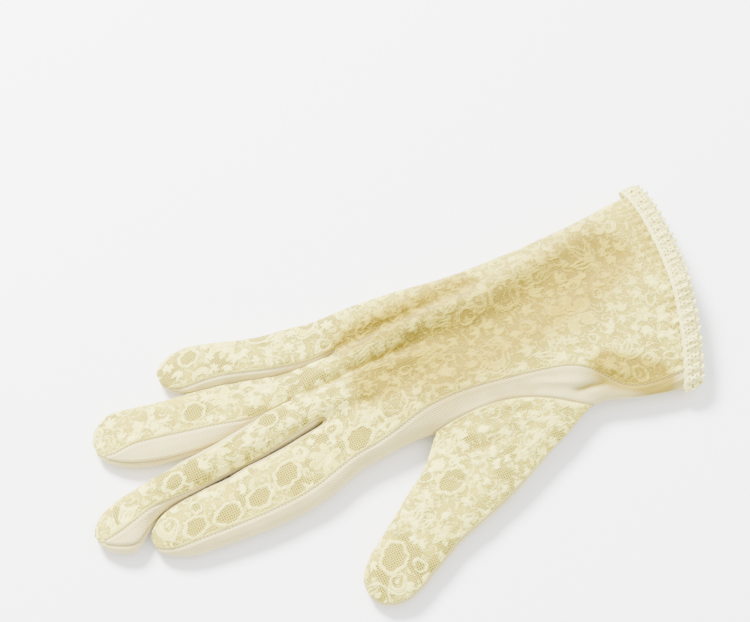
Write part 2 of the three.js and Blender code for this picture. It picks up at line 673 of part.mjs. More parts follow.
// Trim: a gathered band round the hem. Its ruffles stand out to each side, more so at its free
// edge, which bulges once for each ruffle. Each ruffle has an eyelet.
function trimSolid() {
  const RUFFLE_CELLS = 6;
  const ROWS = 3;
  const around = TRIM_RUFFLES * RUFFLE_CELLS;
  const hem = handRows[handRows.length - 1].map((corner) => points[corner]);
  const lengths = [0];
  hem.forEach((p, n) => lengths.push(lengths[n] + p.distanceTo(hem[(n + 1) % hem.length])));
  const total = lengths[hem.length];
  const hemAt = (distance) => {
    let n = 0;
    while (n < hem.length - 1 && lengths[n + 1] < distance) n++;
    const t = (distance - lengths[n]) / (lengths[n + 1] - lengths[n]);
    return hem[n].clone().lerp(hem[(n + 1) % hem.length], t);
  };
  const trimPoints = [];
  const outwards = [];
  for (let row = 0; row <= ROWS; row++)
    for (let n = 0; n < around; n++) {
      const distance = (total * n) / around;
      const p = hemAt(distance);
      const step = total / around;
      const run = hemAt((distance + step) % total).sub(hemAt((distance - step + total) % total));
      const out = new THREE.Vector3(0, run.z, -run.y).normalize();
      const phase = (2 * Math.PI * n) / RUFFLE_CELLS;
      const share = row / ROWS;
      const scallop = TRIM_SCALLOP * share ** 2 * Math.abs(Math.cos(phase / 2)) ** 0.7;
      p.x += SEAM_GAP + (TRIM_WIDTH - TRIM_SCALLOP) * share + scallop;
      p.addScaledVector(out, TRIM_RUFFLE_DEPTH * ease(share * 1.4) * Math.sin(phase));
      p.z = Math.max(p.z, 0);
      trimPoints.push(p);
      outwards.push(out);
    }
  const trimCells = [];
  for (let row = 0; row < ROWS; row++)
    for (let n = 0; n < around; n++) {
      const next = (n + 1) % around;
      const eyelet = row === 1 && n % RUFFLE_CELLS < RUFFLE_CELLS * TRIM_EYELET;
      if (eyelet) continue;
      const [a, b] = [row * around, (row + 1) * around];
      trimCells.push({ corners: [a + next, b + next, b + n, a + n] });
    }
  return clothSolid(trimCells, trimPoints, outwards, WALL, () => 0);
}

const cloth = (name, colour, roughness) =>
  Object.assign(new THREE.MeshStandardMaterial({ color: colour, roughness, metalness: 0 }), { name });
const LACE = 0xf0e6c3;
const JERSEY = 0xefe4cb;

const normals = skinNormals(points, cells);
const hemCorners = new Set(handRows[handRows.length - 1]);
const atHem = (corner) => hemCorners.has(corner);
const mouthCorners = new Set([...mouthTop, ...mouthLow]);
const seamGap = (corner) => (mouthCorners.has(corner) ? THUMB_SEAM_GAP : SEAM_GAP);
const glove = new THREE.Group();
const pieces = [
  ["back_lace", cloth("lace", LACE, 0.85)],
  ["palm_jersey", cloth("jersey", JERSEY, 0.8)],
  ...GUSSETS.map((name) => [name, cloth("jersey", JERSEY, 0.8)]),
  ["thumb_lace", cloth("lace", LACE, 0.85)],
  ["thumb_jersey", cloth("jersey", JERSEY, 0.8)],
];
for (const [name, material] of pieces) {
  const own = cells.filter((cell) => cell.piece === name);
  const mesh = new THREE.Mesh(clothSolid(own, points, normals, WALL, seamGap, atHem), material);
  mesh.name = name;
  glove.add(mesh);
}
const trim = new THREE.Mesh(trimSolid(), cloth("trim", LACE, 0.85));
trim.name = "cuff_trim";
glove.add(trim);

// The origin is under the middle of the glove, on the surface it lies on.
const box = new THREE.Box3().setFromObject(glove);
const centre = box.getCenter(new THREE.Vector3());
glove.children.forEach((mesh) => mesh.geometry.translate(-centre.x, -centre.y, -box.min.z));

export default glove;
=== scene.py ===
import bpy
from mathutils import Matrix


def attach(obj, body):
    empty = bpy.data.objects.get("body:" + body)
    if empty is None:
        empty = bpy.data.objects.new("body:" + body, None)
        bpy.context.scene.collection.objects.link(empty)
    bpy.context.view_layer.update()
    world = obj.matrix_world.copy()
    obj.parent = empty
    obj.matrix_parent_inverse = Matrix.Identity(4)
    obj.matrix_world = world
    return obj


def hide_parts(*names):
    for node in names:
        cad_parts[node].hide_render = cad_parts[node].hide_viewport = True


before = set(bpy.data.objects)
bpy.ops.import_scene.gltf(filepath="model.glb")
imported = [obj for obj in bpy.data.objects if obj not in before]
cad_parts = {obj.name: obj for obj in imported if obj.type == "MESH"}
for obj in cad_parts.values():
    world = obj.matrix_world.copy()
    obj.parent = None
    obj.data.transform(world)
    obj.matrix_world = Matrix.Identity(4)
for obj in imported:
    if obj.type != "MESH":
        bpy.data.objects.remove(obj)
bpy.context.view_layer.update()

# The visual model of a right-hand lace dress glove that lies on its palm.
# The glove is one smooth skin of four-sided cells, built from the same sizes as the CAD part. It is
# smoothed, creased and then divided into its cloth pieces. Sizes are in millimetres up to the point
# where a mesh is made; +X runs from the fingertips to the cuff and +Y to the little finger.

import math
import random

import bpy
import numpy as np
from mathutils import Vector

MM = 0.001

FINGER_GAP = 0.15  # the scene's own: its fingers lie closer to each other than the CAD part's

# Sizes shared with the CAD part
LITTLE, RING, MIDDLE, INDEX = 0, 1, 2, 3
REACH = [51.5, 82, 94, 77]
WIDTH = [18, 24, 16, 26]
HEIGHT = [9.5, 9, 12.5, 10]
FINGER_SPREAD = 10
MIDDLE_LEAN = math.radians(5.8)
TIP_ROUND = 13
CROTCHES = [17, 9, -15, -6, 1]
MIDDLE_LINE = 11
HAND_LENGTH = 118
PALM_WIDTH = 58
WRIST_WIDTH = 67
CUFF_WIDTH = 83
HAND_HEIGHT = 15
CUFF_HEIGHT = 12.5
HAND_DRIFT = 12
CUFF_SLANT = 22
CUFF_BOW = 6
THUMB_SEAT = 26
THUMB_MOUTH = 61
THUMB_LENGTH = 83
THUMB_WIDTH = 27
THUMB_HEIGHT = 9.5
THUMB_HEADING = -math.pi + math.radians(28)
THUMB_TIP_ROUND = 15
TRIM_WIDTH = 7.5
TOP_CELLS = 5
FINGER_ROWS = 9
TIP_ROWS = 4
PALM_ROWS = 4
MOUTH_ROWS = 8
WRIST_ROWS = 6
THUMB_ROWS = 8
ROUNDNESS = 2.4
TIP_BEND = 1.36
TIP_THIN = 0.3  # the least share of its height that a tip keeps
TIP_LIFT = 0.45  # how far a thinner tip is lifted, as a share of the height it lost
SIDE_ANGLE = 0.55
TAPERED_ANGLE = 0.1
GUSSET_TAPER = 0.75
GUSSET_END = 1.8
BESIDE_SHARE = 0.93
MOUTH_RISE = 0.72
THUMB_SEAM_TURN = 0.3
CROTCH_REACH = 0.42
ORIGIN = (25.95, -10.41, -0.03)  # the part's origin, in the frame of the tables

# Columns: at, width, height, roll. The middle finger rolls further here than in the CAD part.
FINGERS = [
    [(-0.35, 0.84, 1.1, 0), (0.0, 0.96, 1.05, 4), (0.4, 1.0, 1.0, 14), (0.8, 1.04, 0.94, 16),
     (1.0, 1.04, 0.86, 12)],
    [(-0.1, 0.36, 1.2, 0), (0.15, 0.51, 1.15, 6), (0.4, 0.84, 1.05, 30), (0.65, 1.0, 1.0, 44),
     (0.88, 1.0, 0.95, 46), (1.0, 0.96, 0.85, 40)],
    [(0.0, 0.78, 1.0, 0), (0.2, 0.82, 1.0, -26), (0.5, 0.78, 0.92, -24), (0.7, 0.76, 0.84, 4),
     (0.79, 0.8, 0.8, 29), (0.82, 0.98, 0.77, 39), (0.86, 1.3, 0.75, 54), (0.93, 1.28, 0.72, 60),
     (1.0, 1.15, 0.68, 58)],
    [(0.0, 0.88, 1.12, 0), (0.25, 1.0, 1.06, 0), (0.55, 0.95, 1.0, 0), (0.8, 0.81, 0.94, 0),
     (1.0, 0.68, 0.88, 0)],
]
PARTING = [(0.0, 0), (0.55, 0.02), (0.72, 0.28), (0.88, 0.74), (1.0, 1)]
# Columns: at, knuckles, palm, wrist, cuff, drift, height, seam, under
HAND = [
    (0.0, 1, 0, 0, 0, 0.0, 0.84, 0.76, -0.93),
    (0.1, 0.35, 0.65, 0, 0, 0.0, 0.93, 0.77, -0.92),
    (0.24, 0, 1, 0, 0, 0.12, 1.0, 0.64, -0.9),
    (0.45, 0, 0.5, 0.5, 0, 0.5, 1.0, 0.58, -0.88),
    (0.7, 0, 0, 0.85, 0.15, 0.75, 0.95, 0.62, -0.82),
    (0.82, 0, 0, 0.5, 0.5, 0.87, 0.92, 0.9, -0.78),
    (1.0, 0, 0, 0, 1, 1.0, 0.86, 0.86, -0.72),
]
# Columns: along, across, to along, to across, rise as a share of the height, width in millimetres
FOLDS = [
    (0.0, -0.14, 0.36, -0.46, 0.22, 4.35),
    (0.36, -0.46, 0.84, -0.8, 0.17, 5.2),
    (0.0, 0.14, 0.24, 0.16, -0.28, 4.35),
    (0.24, 0.16, 0.86, -0.4, -0.2, 8.7),
    (0.0, -0.44, 0.44, -0.7, -0.22, 3.5),
    (0.05, 0.5, 0.55, 0.42, 0.07, 7),
    (0.73, 0.78, 0.83, 0.93, -0.3, 3.5),
    (0.66, 0.6, 0.8, 0.7, 0.16, 3.5),
    (0.9, 0.1, 1.0, 0.12, 0.08, 7),
]
# Columns: at, width, height, shift, turn
THUMB = [(0.0, 2.1, 1.2, 0.0, 0.0), (0.2, 1.54, 1.14, -0.04, 0.4), (0.45, 1.16, 1.05, -0.02, 0.85),
         (0.7, 0.93, 1.0, -0.07, 1.0), (1.0, 0.82, 0.92, -0.05, 1.0)]

PIECES = ["back_lace", "palm_jersey", "gusset_little_ring", "gusset_ring_middle", "gusset_middle_index",
          "thumb_lace", "thumb_jersey"]


def mix(a, b, t):
    return a + (b - a) * t


def clamp(value, low, high):
    return min(high, max(low, value))


def ease(t):
    t = clamp(t, 0, 1)
    return t * t * (3 - 2 * t)


def signed_power(value, power):
    return math.copysign(abs(value) ** power, value)


def along(table, column, at):
    """A smooth value of one column of a table at a place between its rows."""
    i = 0
    while i < len(table) - 2 and at > table[i + 1][0]:
        i += 1
    before, start, end = table[max(i - 1, 0)], table[i], table[i + 1]
    after = table[min(i + 2, len(table) - 1)]
    span = end[0] - start[0]
    t = clamp((at - start[0]) / span, 0, 1)

    def slope(a, b):
        return 0 if a[0] == b[0] else (b[column] - a[column]) / (b[0] - a[0]) * span

    m0 = 0 if before is start else slope(before, end)
    m1 = 0 if after is end else slope(start, after)
    return ((2 * t**3 - 3 * t**2 + 1) * start[column] + (t**3 - 2 * t**2 + t) * m0
            + (3 * t**2 - 2 * t**3) * end[column] + (t**3 - t**2) * m1)


def section(angle):
    """How far across (-1 to 1) and up (0 to 1) a cross-section reaches at an angle."""
    across = -signed_power(math.cos(angle), 2 / ROUNDNESS)
    lift = signed_power(math.sin(angle), 2 / ROUNDNESS)
    if lift < 0:
        lift = max(-1, lift * 1.1)
    return across, (1 + lift) / 2


def angle_on_top(across):
    return math.acos(-signed_power(across, ROUNDNESS / 2))


def angle_below(across):
    return 2 * math.pi - angle_on_top(across)


# The skin
points = []
cells = []


def add_point(p):
    points.append(Vector(p))
    return len(points) - 1


def add_cell(piece, *corners):
    kept = [c for i, c in enumerate(corners) if i == 0 or (c != corners[i - 1] and c != corners[0])]
    cells.append((PIECES.index(piece), kept))


def width_of(i, x):
    return WIDTH[i] * along(FINGERS[i], 1, -x / REACH[i])


def middle_far(x):
    return MIDDLE_LINE + (x - CROTCHES[2]) * math.tan(MIDDLE_LEAN)


def sides(i, x):
    ring_near = middle_far(x) + FINGER_GAP + FINGER_SPREAD * along(PARTING, 1, -x / REACH[RING])
    ring_far = ring_near + width_of(RING, x)
    beside_index = max(x, -REACH[INDEX] * BESIDE_SHARE)
    if i == LITTLE:
        return ring_far + FINGER_GAP + width_of(LITTLE, x), ring_far + FINGER_GAP
    if i == RING:
        return ring_far, ring_near
    if i == MIDDLE:
        return middle_far(x), middle_far(x) - width_of(MIDDLE, x)
    index_far = middle_far(beside_index) - width_of(MIDDLE, beside_index) - FINGER_GAP
    return index_far, index_far - width_of(INDEX, x)


def finger_angles(place):
    """The angles of a finger's columns. Towards the tip the gussets at its sides taper."""
    side = mix(SIDE_ANGLE, TAPERED_ANGLE, ease((place - GUSSET_TAPER) / (GUSSET_END - GUSSET_TAPER)))
    half = [mix(side, math.pi - side, k / TOP_CELLS) for k in range(TOP_CELLS + 1)]
    return [0, *half, math.pi, *(angle + math.pi for angle in half)]


FAR = 0
TOP = 1
TOP_END = TOP + TOP_CELLS
NEAR = TOP_END + 1
LOW = NEAR + 1
LOW_END = LOW + TOP_CELLS
GUSSETS = PIECES[2:5]


def finger_point(i, place, angle):
    tip_start = -REACH[i] + TIP_ROUND
    far_x = mix(CROTCHES[i], tip_start, min(place, 1))
    near_x = mix(CROTCHES[i + 1], tip_start, min(place, 1))
    bend = max(place - 1, 0) * TIP_BEND
    reach = math.sin(bend) * TIP_ROUND
    narrow = math.cos(bend) ** (2 / ROUNDNESS)
    far = Vector((far_x - reach, sides(i, far_x - reach)[0]))
    near = Vector((near_x - reach, sides(i, near_x - reach)[1]))
    centre = (far + near) / 2
    half = (near - far) * 0.5 * narrow
    at = -centre.x / REACH[i]
    roll = math.radians(along(FINGERS[i], 3, at)) * ease(place / 0.5)
    across, up = section(angle - roll)
    full = HEIGHT[i] * along(FINGERS[i], 2, at)
    height = full * max(narrow, TIP_THIN)
    return centre.x + half.x * across, centre.y + half.y * across, (full - height) * TIP_LIFT + height * up


def finger_piece(i, column):
    if i == INDEX and TOP_END - 1 <= column <= NEAR:
        return "palm_jersey"
    if TOP <= column < TOP_END:
        return "back_lace"
    if LOW <= column < LOW_END:
        return "palm_jersey"
    near_side = column in (TOP_END, NEAR)
    if i == LITTLE and not near_side:
        return "back_lace"
    return GUSSETS[i if near_side else i - 1]


def add_finger(i):
    rings = []
    for row in range(FINGER_ROWS + TIP_ROWS + 1):
        place = row / FINGER_ROWS if row <= FINGER_ROWS else 1 + (row - FINGER_ROWS) / TIP_ROWS
        rings.append([add_point(finger_point(i, place, angle)) for angle in finger_angles(place)])
    count = LOW_END + 1
    for row in range(len(rings) - 1):
        for k in range(count):
            following = (k + 1) % count
            piece = finger_piece(i, k)
            if row >= FINGER_ROWS + TIP_ROWS - 1 and piece.startswith("gusset"):
                piece = "back_lace" if k in (FAR, TOP_END) else "palm_jersey"
            add_cell(piece, rings[row][k], rings[row + 1][k], rings[row + 1][following],
                     rings[row][following])
    last = rings[-1]
    middle = [last[FAR]]
    for k in range(1, TOP_CELLS):
        tip = (points[last[TOP + k]] + points[last[LOW_END - k]]) / 2
        tip.x -= TIP_ROUND * (1 - math.sin(TIP_BEND))
        middle.append(add_point(tip))
    middle.append(last[NEAR])
    for k in range(TOP_CELLS):
        piece = "palm_jersey" if i == INDEX and k == TOP_CELLS - 1 else "back_lace"
        add_cell(piece, last[TOP + k], middle[k], middle[k + 1], last[TOP + k + 1])
        add_cell("palm_jersey", last[LOW_END - k], last[LOW_END - k - 1], middle[k + 1], middle[k])
    return rings[0]


bases = [add_finger(i) for i in range(4)]
for i, gusset in enumerate(GUSSETS):
    a, b = bases[i], bases[i + 1]
    add_cell(gusset, a[TOP_END], a[NEAR], b[FAR], b[TOP])
    add_cell(gusset, a[NEAR], a[LOW], b[LOW_END], b[FAR])

knuckle_far = points[bases[0][FAR]].copy()
knuckle_near = points[bases[3][NEAR]].copy()
knuckle_width = knuckle_far.y - knuckle_near.y
knuckle_centre = (knuckle_far.y + knuckle_near.y) / 2
knuckle_slant = knuckle_far.x - knuckle_near.x
knuckle_x = (knuckle_far.x + knuckle_near.x) / 2


def station(at):
    """The middle, half-width vector, height and bow of the hand at a share of its length."""
    width = (knuckle_width * along(HAND, 1, at) + PALM_WIDTH * along(HAND, 2, at)
             + WRIST_WIDTH * along(HAND, 3, at) + CUFF_WIDTH * along(HAND, 4, at))
    centre = Vector((knuckle_x + HAND_LENGTH * at, knuckle_centre - HAND_DRIFT * along(HAND, 5, at)))
    half = Vector((-mix(knuckle_slant, CUFF_SLANT, at) / 2, -width / 2))
    height = mix(HAND_HEIGHT * along(HAND, 6, at), CUFF_HEIGHT, ease((at - 0.7) / 0.3))
    return centre, half, height, CUFF_BOW * ease((at - 0.6) / 0.4)


def fold_rise(at, across):
    ridge = valley = 0
    sideways = -station(at)[1].y
    here = Vector((HAND_LENGTH * at, sideways * across))
    for a0, c0, a1, c1, rise, wide in FOLDS:
        start = Vector((HAND_LENGTH * a0, sideways * c0))
        run = Vector((HAND_LENGTH * a1, sideways * c1)) - start
        t = clamp((here - start).dot(run) / run.length_squared, 0, 1)
        value = HAND_HEIGHT * rise * math.exp(-(((here - start - run * t).length / wide) ** 2))
        ridge, valley = max(ridge, value), min(valley, value)
    return (ridge + valley) * (1 - across**4)


def hand_point(at, angle):
    centre, half, height, bow = station(at)
    across, up = section(angle)
    z = height * up
    if math.sin(angle) > 0:
        z += fold_rise(at, across) * ease(up * 2 - 1)
    return Vector((centre.x + half.x * across + bow * (1 - across * across), centre.y + half.y * across, z))


CORNER = 0.9  # how far across the hand's top reaches before it turns down to the far side
mouth_from = THUMB_SEAT / HAND_LENGTH
mouth_to = (THUMB_SEAT + THUMB_MOUTH) / HAND_LENGTH


def mouth_rise(at):
    t = clamp((at - mouth_from) / (mouth_to - mouth_from), 0, 1)
    return MOUTH_RISE * math.sin(math.pi * t) ** 0.8 if 0 < t < 1 else 0


last_top = 4 * (TOP_CELLS + 1) - 2  # the column where the lace ends and the knitted strip starts


def top_angle(order):
    def angle(at):
        seam = along(HAND, 7, at)
        if order > last_top:
            return mix(angle_on_top(seam), math.pi - mouth_rise(at), 0.5)
        return angle_on_top(mix(-CORNER, seam, order / last_top))
    return angle


def low_angle(order):
    def angle(at):
        share = mouth_rise(at) / MOUTH_RISE
        start = mix(angle_below(CORNER), math.pi + mouth_rise(at) * 1.25, share)
        begin = section(max(start, angle_below(CORNER)))[0]
        return angle_below(mix(begin, along(HAND, 8, at), order / (last_top + 1)))
    return angle


columns = [(bases[0][FAR], lambda at: 0, "back_lace")]
for i in range(4):
    for k in range(TOP_CELLS + 1):
        order = i * (TOP_CELLS + 1) + k
        piece = "palm_jersey" if order >= last_top else "back_lace"
        columns.append((bases[i][TOP + k], top_angle(order), piece))
upper_lip = len(columns)
columns.append((bases[3][NEAR], lambda at: math.pi - mouth_rise(at), "palm_jersey"))
for i in (3, 2, 1, 0):
    for k in range(TOP_CELLS + 1):
        order = (3 - i) * (TOP_CELLS + 1) + k
        piece = "back_lace" if order == last_top + 1 else "palm_jersey"
        columns.append((bases[i][LOW + k], low_angle(order), piece))

stations = [mouth_from * row / PALM_ROWS for row in range(1, PALM_ROWS + 1)]
stations += [mix(mouth_from, mouth_to, row / MOUTH_ROWS) for row in range(1, MOUTH_ROWS + 1)]
stations += [mix(mouth_to, 1, row / WRIST_ROWS) for row in range(1, WRIST_ROWS + 1)]
arch = [points[base] - hand_point(0, angle(0)) for base, angle, _ in columns]
hand_rows = [[base for base, _, _ in columns]]
lower_lip = [hand_rows[0][upper_lip]]
for n, at in enumerate(stations):
    fade = 1 - ease(at / CROTCH_REACH)

    def hand_corner(j, angle):
        p = hand_point(at, angle) + arch[j] * fade
        p.z = max(p.z, 0)
        return add_point(p)

    hand_rows.append([hand_corner(j, angle(at)) for j, (_, angle, _) in enumerate(columns)])
    in_mouth = PALM_ROWS < n + 1 < PALM_ROWS + MOUTH_ROWS
    low_edge = hand_corner(upper_lip, math.pi + mouth_rise(at)) if in_mouth else hand_rows[-1][upper_lip]
    lower_lip.append(low_edge)
for row in range(len(hand_rows) - 1):
    for j, (_, _, piece) in enumerate(columns):
        following = (j + 1) % len(columns)
        edge = lower_lip if j == upper_lip else None
        add_cell(piece, hand_rows[row][following], hand_rows[row + 1][following],
                 edge[row + 1] if edge else hand_rows[row + 1][j], edge[row] if edge else hand_rows[row][j])

# Thumb
mouth_top = [hand_rows[PALM_ROWS + k][upper_lip] for k in range(MOUTH_ROWS + 1)]
mouth_low = [lower_lip[PALM_ROWS + k] for k in range(MOUTH_ROWS + 1)]
crotch, wrist_end = points[mouth_top[0]], points[mouth_top[-1]]
mouth_centre = (crotch + wrist_end) / 2
mouth_line = math.atan2(wrist_end.y - crotch.y, wrist_end.x - crotch.x)


def thumb_point(place, angle):
    bend = max(place - 1, 0) * TIP_BEND
    distance = (THUMB_LENGTH - THUMB_TIP_ROUND) * min(place, 1) + math.sin(bend) * THUMB_TIP_ROUND
    at = min(place, 1)
    narrow = math.cos(bend) ** (2 / ROUNDNESS)
    facing = mix(mouth_line, THUMB_HEADING + math.pi / 2, along(THUMB, 4, at))
    across, up = section(angle)
    sideways = THUMB_WIDTH / 2 * along(THUMB, 1, at) * narrow * across + THUMB_WIDTH * along(THUMB, 3, at)
    full = THUMB_HEIGHT * along(THUMB, 2, at)
    height = full * max(narrow, TIP_THIN)
    return Vector((mouth_centre.x + math.cos(THUMB_HEADING) * distance + math.cos(facing) * sideways,
                   mouth_centre.y + math.sin(THUMB_HEADING) * distance + math.sin(facing) * sideways,
                   (full - height) * TIP_LIFT + height * up))


def thumb_angle(k, below, turned):
    outer = math.pi - THUMB_SEAM_TURN * turned
    return mix(2 * math.pi if below else 0, outer, k / MOUTH_ROWS)


THUMB_BLEND = 0.4  # the share of the thumb over which its root follows the opening in the hand
thumb_rings = [(mouth_top, mouth_low)]
for row in range(1, THUMB_ROWS + TIP_ROWS + 1):
    place = row / THUMB_ROWS if row <= THUMB_ROWS else 1 + (row - THUMB_ROWS) / TIP_ROWS
    turned = ease(place / THUMB_BLEND)
    fade = 1 - turned

    def thumb_corner(k, below, rim):
        p = thumb_point(place, thumb_angle(k, below, turned))
        p += (points[rim] - thumb_point(0, thumb_angle(k, below, 0))) * fade
        p.z = max(p.z, 0)
        return add_point(p)

    top = [thumb_corner(k, False, rim) for k, rim in enumerate(mouth_top)]
    low = [top[k] if k in (0, MOUTH_ROWS) else thumb_corner(k, True, rim)
           for k, rim in enumerate(mouth_low)]
    thumb_rings.append((top, low))
for (top_a, low_a), (top_b, low_b) in zip(thumb_rings, thumb_rings[1:]):
    for k in range(MOUTH_ROWS):
        add_cell("thumb_lace", top_a[k + 1], top_a[k], top_b[k], top_b[k + 1])
        add_cell("thumb_jersey", low_a[k], low_a[k + 1], low_b[k + 1], low_b[k])
top, low = thumb_rings[-1]
middle = []
for k in range(MOUTH_ROWS + 1):
    if k in (0, MOUTH_ROWS):
        middle.append(top[k])
        continue
    tip = (points[top[k]] + points[low[k]]) / 2
    beyond = THUMB_TIP_ROUND * (1 - math.sin(TIP_BEND))
    middle.append(add_point(tip + Vector((math.cos(THUMB_HEADING), math.sin(THUMB_HEADING), 0)) * beyond))
for k in range(MOUTH_ROWS):
    add_cell("thumb_lace", top[k + 1], top[k], middle[k], middle[k + 1])
    add_cell("thumb_jersey", low[k], low[k + 1], middle[k + 1], middle[k])


# Smooth the skin
def mesh_object(name, verts, faces, materials=(), smooth=True):
    mesh = bpy.data.meshes.new(name)
    mesh.from_pydata([tuple(v) for v in verts], [], faces)
    obj = bpy.data.objects.new(name, mesh)
    bpy.context.scene.collection.objects.link(obj)
    for material in materials:
        mesh.materials.append(material)
    mesh.polygons.foreach_set("use_smooth", [smooth] * len(mesh.polygons))
    mesh.update()
    return obj


LEVELS = 3
skin = mesh_object("skin", points, [corners for _, corners in cells])
for _ in PIECES:
    skin.data.materials.append(bpy.data.materials.new("part of skin"))
skin.data.polygons.foreach_set("material_index", [piece for piece, _ in cells])
skin.modifiers.new("smooth", "SUBSURF").levels = LEVELS
evaluated = skin.evaluated_get(bpy.context.evaluated_depsgraph_get())
fine = evaluated.to_mesh()
count = len(fine.vertices)
V = np.empty(count * 3)
fine.vertices.foreach_get("co", V)
V = V.reshape(-1, 3)
N = np.empty(count * 3)
fine.vertices.foreach_get("normal", N)
N = N.reshape(-1, 3)
faces = np.empty(len(fine.polygons) * 4, dtype=np.int64)
fine.polygons.foreach_get("vertices", faces)
faces = faces.reshape(-1, 4)
owner = np.empty(len(fine.polygons), dtype=np.int64)
fine.polygons.foreach_get("material_index", owner)
evaluated.to_mesh_clear()
bpy.data.objects.remove(skin)


# The cloth's flat coordinates: seen from above, with the sides unrolled outwards
UNROLL_LEVEL = 9
UNROLL = 0.8
flat_xy = V[:, :2].copy()
steep = np.clip(1 - np.abs(N[:, 2]), 0, 1)
flat_xy += N[:, :2] * (steep * np.abs(V[:, 2] - UNROLL_LEVEL))[:, None] * UNROLL


# Creases and soft unevenness in the cloth
def value_noise(x, y, z, seed):
    """Smooth noise from -1 to 1 at arrays of coordinates."""
    def corner(i, j, k):
        h = np.sin(i * 127.1 + j * 311.7 + k * 74.7 + seed * 53.3) * 43758.5453
        return (h - np.floor(h)) * 2 - 1

    i, j, k = np.floor(x), np.floor(y), np.floor(z)
    u, v, w = x - i, y - j, z - k
    u, v, w = (s * s * (3 - 2 * s) for s in (u, v, w))
    total = 0
    for a in (0, 1):
        for b in (0, 1):
            for c in (0, 1):
                weight = (u if a else 1 - u) * (v if b else 1 - v) * (w if c else 1 - w)
                total = total + weight * corner(i + a, j + b, k + c)
    return total


def line_bump(start, end, wide, rise):
    """A crease from start to end: how high it lifts each point."""
    a, b = np.array(start, float), np.array(end, float)
    run = b - a
    t = np.clip(((V[:, :2] - a) @ run) / (run @ run), 0, 1)
    away = np.linalg.norm(V[:, :2] - a - t[:, None] * run, axis=1)
    taper = np.sin(np.pi * np.clip(t, 0.02, 0.98)) ** 0.6
    return rise * np.exp(-((away / wide) ** 2)) * taper


facing_up = np.clip(N[:, 2] * 1.6, 0, 1)
lift = 0.28 * value_noise(V[:, 0] / 9, V[:, 1] / 6, V[:, 2] / 9, 1)
lift += 0.12 * value_noise(V[:, 0] / 3.4, V[:, 1] / 3, V[:, 2] / 4, 2)
# Columns: start, end, width, rise. Finger creases lie across or along a finger.
CREASES = [
    ((-8, 34), (4, 33), 1.6, -0.7), ((-34, 22), (-26, 17), 1.5, -0.5), ((-58, 24), (-50, 19), 1.3, 0.4),
    ((-28, 8), (-14, 10), 1.5, 0.8), ((-52, 2), (-38, 5), 1.3, 0.5), ((-70, -2), (-60, -4), 1.2, -0.4),
    ((-44, -12), (-30, -14), 1.4, 0.4), ((-22, -20), (-8, -14), 1.6, -0.6), ((2, -12), (22, -8), 2.0, 0.6),
    ((50, -25), (64, -29), 1.3, 0.9), ((66, -22), (84, -30), 1.3, 1.0), ((78, -30), (92, -33), 1.3, -1.2),
    ((88, -24), (100, -34), 1.6, 0.9), ((34, -30), (62, -33), 1.3, 0.8), ((30, -34), (54, -37), 1.2, -0.7),
    ((14, 24), (44, 22), 2.2, -0.6), ((26, 27), (60, 26), 2.0, 0.7), ((4, 12), (34, 14), 2.2, 0.5),
    ((40, 4), (96, 13), 4.0, -0.8), ((60, 18), (104, 24), 3.0, 0.6), ((70, -2), (110, 4), 4.0, 0.5),
    ((6, -50), (20, -44), 1.6, 0.5), ((-8, -62), (2, -52), 1.5, -0.4), ((22, -41), (34, -46), 1.5, -0.5),
]
for start, end, wide, rise in CREASES:
    lift += line_bump(start, end, wide, rise) * facing_up
# Gathers that run in from the trim
GATHER_REACH = 13
GATHER_RISE = 0.35
GATHERS_PER_MM = 1.9  # in radians
LOWEST = 0.02  # the cloth's least height above the floor
hem = np.array([points[c] for c in hand_rows[-1]])
hem = hem[np.argsort(hem[:, 1])]
hem_x = np.interp(V[:, 1], hem[:, 1], hem[:, 0])
inward = np.clip(1 - (hem_x - V[:, 0]) / GATHER_REACH, 0, 1) * (V[:, 0] > 80)
wander = 2 * value_noise(V[:, 0] / 8, V[:, 1] / 8, 0 * V[:, 2], 4)
lift += GATHER_RISE * inward**1.5 * np.sin(V[:, 1] * GATHERS_PER_MM + wander)
V = V + N * lift[:, None]
V[:, 2] = np.maximum(V[:, 2], LOWEST)


def hollows(steps):
    """How deep each point lies in a fold: 0 on a ridge or a plain stretch, 1 in a deep valley."""
    a = np.concatenate([faces[:, 0], faces[:, 1], faces[:, 2], faces[:, 3]])
    b = np.concatenate([faces[:, 1], faces[:, 2], faces[:, 3], faces[:, 0]])
    links = np.bincount(a, minlength=len(V)) + np.bincount(b, minlength=len(V))
    smoothed = V.copy()
    for _ in range(steps):
        total = [np.bincount(a, smoothed[b, k], len(V)) + np.bincount(b, smoothed[a, k], len(V))
                 for k in range(3)]
        smoothed = np.stack(total, axis=1) / links[:, None]
    return np.clip(((smoothed - V) * N).sum(axis=1) / HOLLOW_DEPTH, 0, 1)


